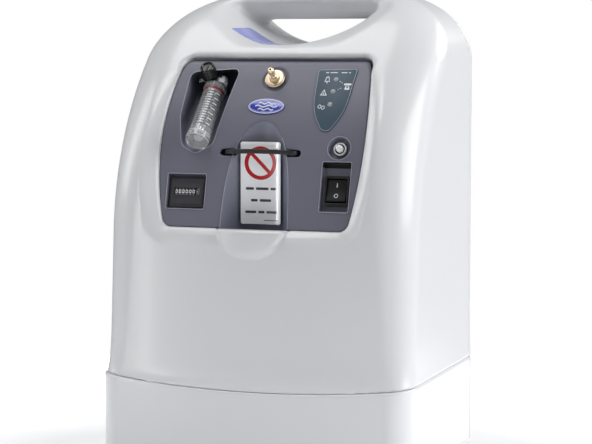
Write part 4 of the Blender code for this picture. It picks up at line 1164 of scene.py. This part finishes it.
def build_card():
    """A glossy card that bends a little to follow the bay behind it."""
    piece = Piece()
    # painted shadow: a dark backing, offset left and up, showing as a dark line along the card's left and top edges
    piece.press(rectangle(49.4, 95.4, 2.6, (-1.3, 0.9)), -0.5, 0.0, "ink")
    piece.press(rectangle(49.0, 95.0, 2.6), 0.0, 0.55, "card")
    ring = (-0.5, 23.0)
    piece.press(disc(19.4, ring, 64), 0.5, 0.62, "red", holes=[disc(14.8, ring, 64)])
    slash = Matrix.Rotation(math.radians(-45), 2)
    bar = [slash @ Vector(p) + Vector(ring) for p in ((-15.4, -2.1), (15.4, -2.1), (15.4, 2.1), (-15.4, 2.1))]
    piece.press([tuple(p) for p in bar], 0.5, 0.62, "red")
    rows = ((-6.5, (9.5, 15.5, 6.5)), (-20.0, (8.0, 14.0)), (-33.5, (13.0, 7.5, 12.5)))
    for height, words in rows:
        gap = 2.6
        start = -(sum(words) + gap * (len(words) - 1)) / 2
        for wide in words:
            spot = (start + wide / 2, height)
            piece.press(rectangle(wide, 2.9, 0.8, spot, 3), 0.5, 0.62, "grey_print")
            start += wide + gap
    piece.press(rectangle(18.0, 0.9, 0.3, (12.5, -43.0), 2), 0.5, 0.62, "grey_print")

    def hang(x, y, z):
        return (x, CARD_Y - z - x * x / (2 * CARD_BEND), CARD_Z + y)

    piece.slice_up(0, 2.5).warp(hang)
    piece.done("card", "printed_card", "notice_card")


def build_strap():
    """A rubber band across the bay, its ends turned into the slots."""
    half = [(46.5, -86.0, 392.6), (46.3, -92.0, 392.8), (45.2, -98.5, 393.2), (42.6, -103.6, 393.7)]
    half += [(38.6, -106.6, 394.3), (33.0, -107.6, 394.9), (22.0, -107.9, 395.3), (11.0, -108.0, 395.5)]
    path = [(-x, y, z) for x, y, z in half] + [(0.0, -108.0, 395.6)] + half[::-1]
    path = smooth(path, 5)
    section = [(u * 1.15, v * 2.7) for u, v in squircle(20)]
    piece = Piece()
    piece.sweep(path, section, "strap")
    piece.done("strap", "black_plastic", "retention_strap")


def squircle(count, power=0.55):
    line = []
    for i in range(count):
        turn = 2 * math.pi * i / count
        c, s = math.cos(turn), math.sin(turn)
        line.append((math.copysign(abs(c) ** power, c), math.copysign(abs(s) ** power, s)))
    return line


def smooth(knots, steps):
    """Points on a Catmull-Rom curve through the knots."""
    ends = [Vector(knots[0]), *map(Vector, knots), Vector(knots[-1])]
    route = []
    for a, b, c, d in zip(ends, ends[1:], ends[2:], ends[3:]):
        for step in range(steps):
            t = step / steps
            bend = (2 * a - 5 * b + 4 * c - d) * t**2 + (3 * b - a - 3 * c + d) * t**3
            route.append(0.5 * (2 * b + (c - a) * t + bend))
    route.append(ends[-1])
    return route


def meter_frame(down=0.0):
    """Local Z up the tube, X to the right and -Y out of its bay, from down below the tube's top."""
    side = Vector((1, 0, 0))
    placed = Matrix((side, METER_UP.cross(side), METER_UP)).transposed().to_4x4()
    placed.translation = METER_TOP - METER_UP * down
    return placed


def build_meter_tube():
    placed = meter_frame()
    length = METER_LENGTH
    tube = Piece()
    outside = [(13.2, 0.0), (13.9, -0.6), (13.9, -6.0), (13.1, -6.8), (13.1, -length + 11), (13.9, -length + 10)]
    outside += [(13.9, -length + 4.0), (12.6, -length + 1.4), (9.0, -length + 0.3), (5.0, -length), (0, -length)]
    inside = [(0, -length + 13.6), (3.9, -length + 13.8), (4.1, -length + 15), (5.0, -4.0), (5.0, 0.0)]
    tube.lathe(outside + inside, "acrylic", placed, 48)
    for number in range(14):
        height = -15.5 - 3.9 * number
        tube.lathe(hoop(13.12, height, 0.75), "ring_ink", placed, 48)
        band(tube, placed, 13.3, height + 0.9, height + 2.9, -82, -66, "print")
        if number % 2:
            band(tube, placed, 13.3, height + 1.2, height + 2.6, -52, -28, "print")
    tube.lathe(hoop(13.15, -9.8, 3.2), "red_band", placed, 48)
    # painted highlight: pale hoops and a seat at the tube's foot for the glints in its clear base
    for height in (10.6, 8.0, 3.2):
        tube.lathe(hoop(13.85, height - length, 0.8), "pale_glint", placed, 48)
    seat = [(0, 14.6 - length), (4.4, 14.4 - length), (4.4, 13.0 - length), (0, 13.0 - length)]
    tube.lathe(seat, "pale_glint", placed, 32)
    for count, number in enumerate((5, 4, 3, 2, 1)):
        spot = placed @ spun(-55, "Z") @ shift(13.32, 0, -19.0 - 9.75 * count)
        figure(tube, spot, number, 0.8, "print")
    tube.done("meter_tube", "clear_acrylic", "flowmeter_tube", angle=35)


def build_meter_float():
    bobbin = Piece()
    profile = [(0, 4), (2.0, 3.6), (3.1, 2.2), (3.6, 0.4), (3.2, -1.6), (1.4, -2.2), (1.2, -3.2), (1.7, -4), (0, -4)]
    bobbin.lathe(profile, "chrome", meter_frame(METER_LENGTH - 18.2), 28)
    bobbin.done("meter_float", "steel", "flow_float", body="float")


def build_meter_block():
    placed = meter_frame()
    block = Piece()
    block.box((28.0, 22.0, 15.0), "black_gloss", (-6.0, 0.0, 7.9), placed, 1.6, 3)
    block.lathe([(9.4, 0.2), (9.4, -2.2), (12.7, -2.2), (13.8, -1.4), (13.8, 0.2)], "black_gloss", placed, 40)
    spigot = placed @ shift(8, 12, 8) @ spun(90, "X")
    block.lathe([(0, 13), (3.9, 13), (3.9, -15), (0, -15)], "black", spigot, 20)
    # painted highlight: the clear cap at the top is given the milky white look for its glints
    cap = placed @ shift(7.2, -4.0, 0.3)
    block.lathe([(0, 12.0), (5.0, 12.0), (6.0, 11.2), (6.0, 6.4), (7.6, 5.6), (7.6, 0), (0, 0)], "pale_glint", cap, 8)
    block.done("meter_block", "black_plastic", "flowmeter_block", angle=25)


def build_meter_knob():
    knob_at = meter_frame() @ shift(-7.0, -11.0, 10.6) @ spun(90, "X")
    knob = Piece()
    profile = [(0, 12.8), (5.6, 12.8), (6.3, 13.4), (6.9, 14.6), (7.6, 14.9), (8.2, 14.4), (8.6, 13.2)]
    profile += [(9.9, 3.0), (10.25, 2.2), (10.25, 1.1), (9.6, 0.4), (4.0, 0.4), (4.0, -7), (0, -7)]
    knob.lathe(profile, "black_gloss", knob_at, 56)
    for rib in range(28):
        spin = Matrix.Rotation(2 * math.pi * rib / 28, 4, "Z") @ spun(-7.0, "Y")
        knob.box((0.7, 0.9, 8.6), "black_gloss", (8.35, 0.0, 8.6), knob_at @ spin, 0.3)
    knob.box((2.2, 10.6, 1.6), "black", (0.0, 0.0, 12.9), knob_at, 0.6)
    knob.done("meter_knob", "black_plastic", "flow_knob", body="knob")


def hoop(radius, height, thick):
    """The profile of a band of print round a tube."""
    out, low, high = radius + 0.12, height - thick / 2, height + thick / 2
    return [(radius, high), (out, high), (out, low), (radius, low)]


def band(piece, placed, radius, low, high, start, end, look):
    """Print wrapped round a tube between two angles from its right, in degrees."""
    part = bmesh.new()
    steps = max(3, round(abs(end - start) / 8))
    rows = []
    for i in range(steps + 1):
        angle = math.radians(mix(start, end, i / steps))
        for ring in (radius, radius + 0.15):
            rows.append([part.verts.new((ring * math.cos(angle), ring * math.sin(angle), up)) for up in (low, high)])
    for i in range(0, len(rows) - 2, 2):
        a, b, c, d = rows[i : i + 4]
        part.faces.new((b[0], d[0], d[1], b[1]))
        part.faces.new((a[0], a[1], c[1], c[0]))
        part.faces.new((a[0], c[0], d[0], b[0]))
        part.faces.new((a[1], b[1], d[1], c[1]))
    for a, b in (rows[:2], rows[-2:]):
        part.faces.new((a[0], b[0], b[1], a[1]))
    bmesh.ops.recalc_face_normals(part, faces=part.faces)
    piece.take(part, look, placed)


def build_outlet():
    piece = Piece()
    barb = [(2.4, 21.0), (3.0, 20.4), (3.9, 18.2), (3.9, 17.5), (2.9, 17.2), (2.9, 15.6), (3.9, 13.6), (3.9, 13.0)]
    barb += [(2.9, 12.7), (2.9, 9.4), (3.6, 8.2), (5.6, 7.8), (6.0, 7.2), (6.0, 5.0), (6.2, 4.4), (6.2, 3.8)]
    flange = [(7.2, 3.6), (10.4, 3.6), (11.6, 3.0), (12.0, 2.2), (11.8, 0.9), (11.0, -0.6), (6.4, -0.6)]
    neck = [(5.2, -1.6), (5.2, -13.6)]
    bore = [(1.6, -13.6), (1.6, 21.0)]
    piece.lathe(barb + flange + neck + bore, "brass", OUTLET, 44)
    piece.press(disc(6.9, steps=6), 3.5, 6.8, "brass", OUTLET, edge=0.35)
    piece.done("outlet", "brass", "outlet_fitting", angle=30)


def build_breaker():
    collar = Piece()
    ring = [(5.9, -2.9), (6.3, -2.0), (6.8, -1.7), (7.3, -2.0), (7.7, -2.9), (7.7, -5.8), (5.9, -5.8)]
    # painted reflection: the plated ring takes the white button look for the bright surroundings that it reflects
    collar.lathe(ring, "button", BREAKER, 56)
    sleeve = [(4.5, -3.6), (5.85, -3.6), (5.85, -29), (0, -29), (0, -12), (4.5, -12)]
    collar.lathe(sleeve, "black_gloss", BREAKER, 44)
    collar.done("breaker_collar", "plated_ring", "breaker_body")
    button = Piece()
    dome = [(0, 3.0), (1.6, 2.8), (2.9, 2.3), (3.8, 1.4), (4.2, 0.2), (4.2, -6), (0, -6)]
    button.lathe(dome, "button", BREAKER, 36)
    button.done("breaker_cap", "white_button", "breaker_button", body="reset_button")


def build_switch():
    housing = Piece()
    mouth = rectangle(24.2, 28.2, 0.7, steps=3)
    housing.press(rectangle(29.0, 35.0, 1.6), -6.7, -2.7, "black", SWITCH, 0.5, [mouth])
    throat = rectangle(24.4, 28.4, 0.7, steps=3)
    housing.press(rectangle(26.6, 32.4, 1.0), -28.0, -6.6, "black", SWITCH, holes=[throat])
    housing.press(rectangle(26.0, 31.8, 1.0), -30.5, -27.8, "black", SWITCH)
    housing.done("switch_frame", "black_plastic", "switch_housing")
    tilt = SWITCH @ shift(0, 0, -6.2) @ spun(-8, "X")
    rocker = Piece()
    face = [(-12.9, 3.3), (-9.0, 2.65), (-4.5, 2.2), (0, 2.0), (4.5, 2.2), (9.0, 2.65), (12.9, 3.3)]
    side = face + [(12.8, 0.6), (3.0, -2.0), (-3.0, -2.0), (-12.8, 0.6)]
    turned = tilt @ spun(90, "Z") @ spun(90, "X")
    rocker.press(side, -11.3, 11.3, "matt_black", turned, edge=0.5)
    rocker.box((0.9, 5.2, 0.25), "print", (0, 6.4, 2.42), tilt @ spun(4.5, "X"), 0.08, 1)
    ring = disc(2.5, (0, -6.6), 28)
    ring_in = disc(1.75, (0, -6.6), 28)
    rocker.press(ring, 2.42, 2.62, "print", tilt @ spun(-4.5, "X"), holes=[ring_in])
    rocker.done("switch_paddle", "black_plastic", "switch_rocker", body="rocker")


def build_hour_meter():
    housing = Piece()
    opening = rectangle(31.6, 7.6, 0.8, (0, 0.4), 3)
    housing.press(rectangle(44.7, 36.2, 1.2), -6.7, -4.4, "dark_grey", HOURS, edge=0.4, holes=[opening])
    housing.press(rectangle(41.4, 29.4, 1.6, (0.6, 0.0)), -4.5, -3.2, "dark_grey", HOURS, 0.5, [opening])
    deep = rectangle(33.0, 16.4, 0.8, steps=3)
    housing.press(rectangle(40.0, 28.0, 1.0), -29.0, -6.6, "black", HOURS, holes=[deep])
    housing.done("hour_case", "black_plastic", "hour_meter_housing")
    axis = HOURS @ shift(0, 0.4, -13.0) @ spun(90, "Y")
    drums = Piece()
    for number in range(6):
        drum(drums, axis, -13.7 + 4.28 * number, "ink")
    drums.done("hour_wheels", "counter_digits", "hour_drums", body="hours_wheels")
    tenth = Piece()
    drum(tenth, axis, 12.9, "drum_pale", "ink")
    tenth.done("tenths_wheel", "counter_digits", "tenth_hour_drum", body="tenths_wheel")


SEGMENTS = ("abcdef", "bc", "abged", "abgcd", "fgbc", "afgcd", "afgedc", "abc", "abcdefg", "abfgcd")
STROKES = {
    "a": (0.0, 1.0, 1, 0),
    "d": (0.0, -1.0, 1, 0),
    "g": (0.0, 0.0, 1, 0),
    "b": (1.0, 0.5, 0, 1),
    "c": (1.0, -0.5, 0, 1),
    "f": (-1.0, 0.5, 0, 1),
    "e": (-1.0, -0.5, 0, 1),
}


def figure(piece, placed, number, size, look, bold=0.5):
    """A seven-stroke figure on a face whose X is outward, Y to the reader's right and Z up."""
    for name in SEGMENTS[number]:
        across, up, flat, tall = STROKES[name]
        stroke = (0.16, (bold + 1.7 * flat) * size, (bold + 1.3 * tall) * size)
        piece.box(stroke, look, (0.0, across * 0.85 * size, up * 1.35 * size), placed, 0.05, 1)


DRUM_RADIUS = 8.0


def drum(piece, axis, at, look, digits="digit"):
    """A counter wheel with the ten figures round it; figure 0 faces out at rest."""
    half = [(0, 1.98), (DRUM_RADIUS - 0.4, 1.98), (DRUM_RADIUS, 1.6)]
    wheel = axis @ shift(0, 0, at)
    piece.lathe(both_ways(half), look, wheel, 30)
    upright = Matrix(((-1, 0, 0), (0, 0, -1), (0, -1, 0))).to_4x4()
    for number in range(10):
        spin = Matrix.Rotation(-2 * math.pi * number / 10, 4, "Z")
        spot = wheel @ spin @ shift(-DRUM_RADIUS - 0.05, 0, 0) @ upright
        figure(piece, spot, number, 1.25, digits, 0.75)


# ---- castors and rear fittings

# Local X, Y and Z laid along the world's Y, Z and X
SIDE_ON = Matrix(((0, 0, 1), (1, 0, 0), (0, 1, 0))).to_4x4()
# Local Z laid along the world's Y, and Y down
FROM_BEHIND = spun(-90, "X")


def build_castor(place, x, y):
    swivel = shift(x, y, 0)
    hub = shift(x, y + CASTOR_TRAIL, WHEEL_RADIUS) @ spun(90, "Y")
    fork = Piece()
    crown = [(0, 61), (4.4, 61), (4.4, 46.2), (14.5, 45.6), (17, 44.4), (17.4, 42.6), (16.6, 41.0), (0, 40.4)]
    fork.lathe(crown, "black", swivel, 36)
    leg = [(-9.0, 42.0), (-11.0, 37.0), (-3.5, 26.0), (4.0, 18.0), (6.6, 14.8), (12.0, 13.4), (17.4, 14.8)]
    leg += [(19.4, 20.0), (18.0, 27.0), (15.5, 35.0), (12.5, 42.0)]
    for side in (-11.4, 11.4):
        fork.press(leg, side - 1.7, side + 1.7, "black", swivel @ SIDE_ON, edge=0.8)
    fork.box((24.0, 20.0, 2.6), "black", (0.0, 1.0, 41.4), swivel, 0.8)
    fork.done("fork_" + place, "black_plastic", "castor_yoke_" + place, body="castor_fork_" + place)
    pin = Piece()
    pin.lathe(both_ways([(0, 14.6), (3.2, 14.3), (4.6, 13.2), (3.0, 13.0)]), "steel", hub, 24)
    pin.done("pin_" + place, "steel", "castor_axle_" + place, body="castor_fork_" + place)
    wheel = Piece()
    tread = both_ways([(16.2, 8.0), (18.4, 7.7), (19.6, 6.4), (WHEEL_RADIUS, 4.4)])
    wheel.lathe(tread + [(15.4, -6.8), (15.4, 6.8)], "tread", hub, 56)
    core = both_ways([(3.3, 8.6), (6.0, 8.6), (6.6, 8.0), (7.2, 5.4), (14.6, 5.0), (15.5, 6.4)])
    wheel.lathe(core, "dark_grey", hub, 56)
    wheel.done("wheel_" + place, "castor_tread", "castor_wheel_" + place, body="castor_roller_" + place)


LOUVRE_Y = 149.0
LOUVRE_THICK = 5.0
LOUVRE_TILT = 32.0


def louvred(name, look, slot, at, size, opening, blades, node, body=ROOT):
    """A moulded frame in the rear's face with sloping blades across its opening."""
    placed = shift(at[0], LOUVRE_Y, at[1]) @ FROM_BEHIND
    half = LOUVRE_THICK / 2
    wide, tall = opening
    piece = Piece()
    piece.press(rectangle(*size, 4.0), -half, half, look, placed, 0.8, [rectangle(wide, tall, 2.5)])
    pitch = tall / blades
    for blade in range(blades):
        slope = shift(0, pitch * (blade + 0.5) - tall / 2, 0) @ spun(LOUVRE_TILT, "X")
        piece.box((wide + 1.0, pitch * 0.86, 1.5), look, placed=placed @ slope)
    piece.box((1.8, tall + 1.0, LOUVRE_THICK * 0.7), look, (0, 0, -LOUVRE_THICK * 0.1), placed)
    piece.done(name, slot, node, body=body)


def build_rear_fittings():
    cover = (FILTER_AT, (159.0, 129.0), (136.0, 106.0), 11)
    louvred("intake_cover", "white", "white_cabinet", *cover, "filter_cover", "filter_cassette")
    grille = (EXHAUST_AT, (127.0, 57.0), (108.0, 40.0), 6)
    louvred("outlet_grille", "panel", "panel_grey", *grille, "exhaust_grille")
    foam = Piece()
    foam.box((156.0, 5.5, 126.0), "foam", (0.0, 143.2, 315.0), edge=1.6, segments=3)
    foam.done("foam_sheet", "filter_foam", "cabinet_filter", body="filter_cassette")
    gland = Piece()
    profile = [(4.5, 11.5), (6.2, 11.5), (6.9, 10.8), (8.2, 3.4), (11.2, 3.2), (12.0, 2.4), (12.0, 0.0)]
    profile += [(8.2, 0.0), (8.2, -8.0), (4.5, -8.0)]
    gland.lathe(profile, "black", shift(128.0, 138.3, 92.0) @ FROM_BEHIND, 36)
    gland.done("cord_gland", "black_plastic", "power_gland")


# ---- carried-over nodes

SLOT_LOOKS = {
    "white_cabinet": "white",
    "panel_grey": "panel",
    "black_plastic": "black",
    "castor_tread": "tread",
    "rubber_mount": "rubber",
    "clear_acrylic": "acrylic",
    "soft_hose": "hose",
    "brass": "brass",
    "steel": "steel",
    "plated_ring": "chrome",
    "white_button": "button",
    "aluminium": "aluminium",
    "copper": "copper",
    "badge_film": "blue",
    "window_film": "window",
    "lamp_lens": "lamp",
    "printed_card": "card",
    "counter_digits": "drum_pale",
    "filter_foam": "foam",
    "canister_plastic": "canister",
    "board": "board",
}


def dress_nodes():
    """The inner parts keep their CAD shape, with softened edges and their own finish."""
    slots = {row["node"]: row["material_slot"] for row in frame["record"]["subparts"]}
    for name, obj in frame["nodes"].items():
        obj.data.materials.clear()
        obj.data.materials.append(looks[SLOT_LOOKS[slots[name]]])
        step = obj.modifiers.new("soft_edges", "BEVEL")
        step.width = 0.4 * MM
        step.segments = 2
        step.limit_method = "ANGLE"
        step.angle_limit = math.radians(50)


build_front()
build_rear()
build_skirt()
build_panel()
build_rim_highlights()
build_window()
build_badge()
build_decal()
build_card()
build_strap()
build_meter_tube()
build_meter_float()
build_meter_block()
build_meter_knob()
build_outlet()
build_breaker()
build_switch()
build_hour_meter()
for row, depth in (("front", -CASTOR_Y), ("rear", CASTOR_Y)):
    for side, across in (("left", -CASTOR_X), ("right", CASTOR_X)):
        build_castor(row + "_" + side, across, depth)
build_rear_fittings()
dress_nodes()


# ---- floor, light and camera


def floor_look():
    """Pale, and glowing more and more towards its rim so that it fades into the backdrop."""
    material = surface("floor", (0.86, 0.87, 0.88), (0.9, 0.9, 0.91), (0.5, 0.6), 1.0, 60.0, 50)
    tree, shader = nodes_of(material)
    place = tree.nodes.new("ShaderNodeTexCoord")
    size = tree.nodes.new("ShaderNodeVectorMath")
    size.operation = "LENGTH"
    tree.links.new(place.outputs["Object"], size.inputs[0])
    glow = ramp(tree, size.outputs["Value"], 0.1, 0.95, 0.35, 0.85)
    tree.links.new(glow, shader.inputs["Emission Color"])
    tune(shader, Emission_Strength=1.0)
    return material


def build_stage():
    bm = bmesh.new()
    bmesh.ops.create_circle(bm, cap_ends=True, segments=96, radius=FLOOR_RADIUS)
    mesh = bpy.data.meshes.new("floor")
    bm.to_mesh(mesh)
    bm.free()
    floor = link("floor", mesh)
    mesh.materials.append(floor_look())


# name, place, height of the spot that it looks at, size and power
LIGHTS = (
    ("key", (2.2, -0.1, 1.15), 0.35, (1.6, 1.6), 45.0),
    ("top", (-0.7, 0.0, 2.5), 0.4, (1.8, 1.2), 20.0),
    ("front", (-0.4, -1.15, 2.5), 0.4, (0.9, 0.6), 10.5),
    ("left", (-2.2, -0.3, 1.4), 0.4, (0.8, 1.6), 14.0),
    ("rear", (1.2, 1.7, 1.5), 0.5, (0.9, 0.9), 26.0),
    ("strip", (-1.23, -1.82, 0.5), 0.36, (0.06, 1.4), 5.5),
)


def area_light(name, place, aim, size, power):
    data = bpy.data.lights.new(name, "AREA")
    data.shape = "RECTANGLE"
    data.size, data.size_y = size
    data.energy = power
    light = link(name, data)
    light.location = place
    light.rotation_euler = (Vector((0.0, 0.0, aim)) - Vector(place)).to_track_quat("-Z", "Y").to_euler()


def build_light():
    scene = bpy.context.scene
    scene.view_settings.view_transform = "Standard"
    world = bpy.data.worlds.new("studio")
    scene.world = world
    world.use_nodes = True
    tree = world.node_tree
    back = tune(tree.nodes["Background"], Color=(0.97, 0.98, 1.0, 1.0), Strength=0.12)
    seen = tune(tree.nodes.new("ShaderNodeBackground"), Color=(1.0, 1.0, 1.0, 1.0), Strength=1.0)
    path = tree.nodes.new("ShaderNodeLightPath")
    pick = tree.nodes.new("ShaderNodeMixShader")
    tree.links.new(path.outputs["Is Camera Ray"], pick.inputs["Fac"])
    tree.links.new(back.outputs[0], pick.inputs[1])
    tree.links.new(seen.outputs[0], pick.inputs[2])
    tree.links.new(pick.outputs[0], tree.nodes["World Output"].inputs["Surface"])
    for light in LIGHTS:
        area_light(*light)


# The camera fitted to the photo, in metres and in pixels of the photo
PHOTO_WIDTH = 592
PHOTO_HEIGHT = 444
FOCAL_PIXELS = 1941
HORIZON_ROW = 45
AXIS_COLUMN = 291.3
CAMERA_TURN = math.radians(20.0)
CAMERA_DISTANCE = 2.325
CAMERA_HEIGHT = 0.517


def build_camera():
    data = bpy.data.cameras.new("camera")
    data.sensor_width = 36.0
    data.lens = 118.03
    data.shift_x = (PHOTO_WIDTH / 2 - AXIS_COLUMN) / PHOTO_WIDTH
    data.clip_start = 0.1
    camera = link("camera", data)
    across, back = math.sin(CAMERA_TURN), math.cos(CAMERA_TURN)
    camera.location = (CAMERA_DISTANCE * across, -CAMERA_DISTANCE * back, CAMERA_HEIGHT)
    down = math.atan2(PHOTO_HEIGHT / 2 - HORIZON_ROW, FOCAL_PIXELS)
    camera.rotation_euler = (math.pi / 2 - down, 0.0, CAMERA_TURN)
    bpy.context.scene.camera = camera


build_stage()
build_light()
build_camera()
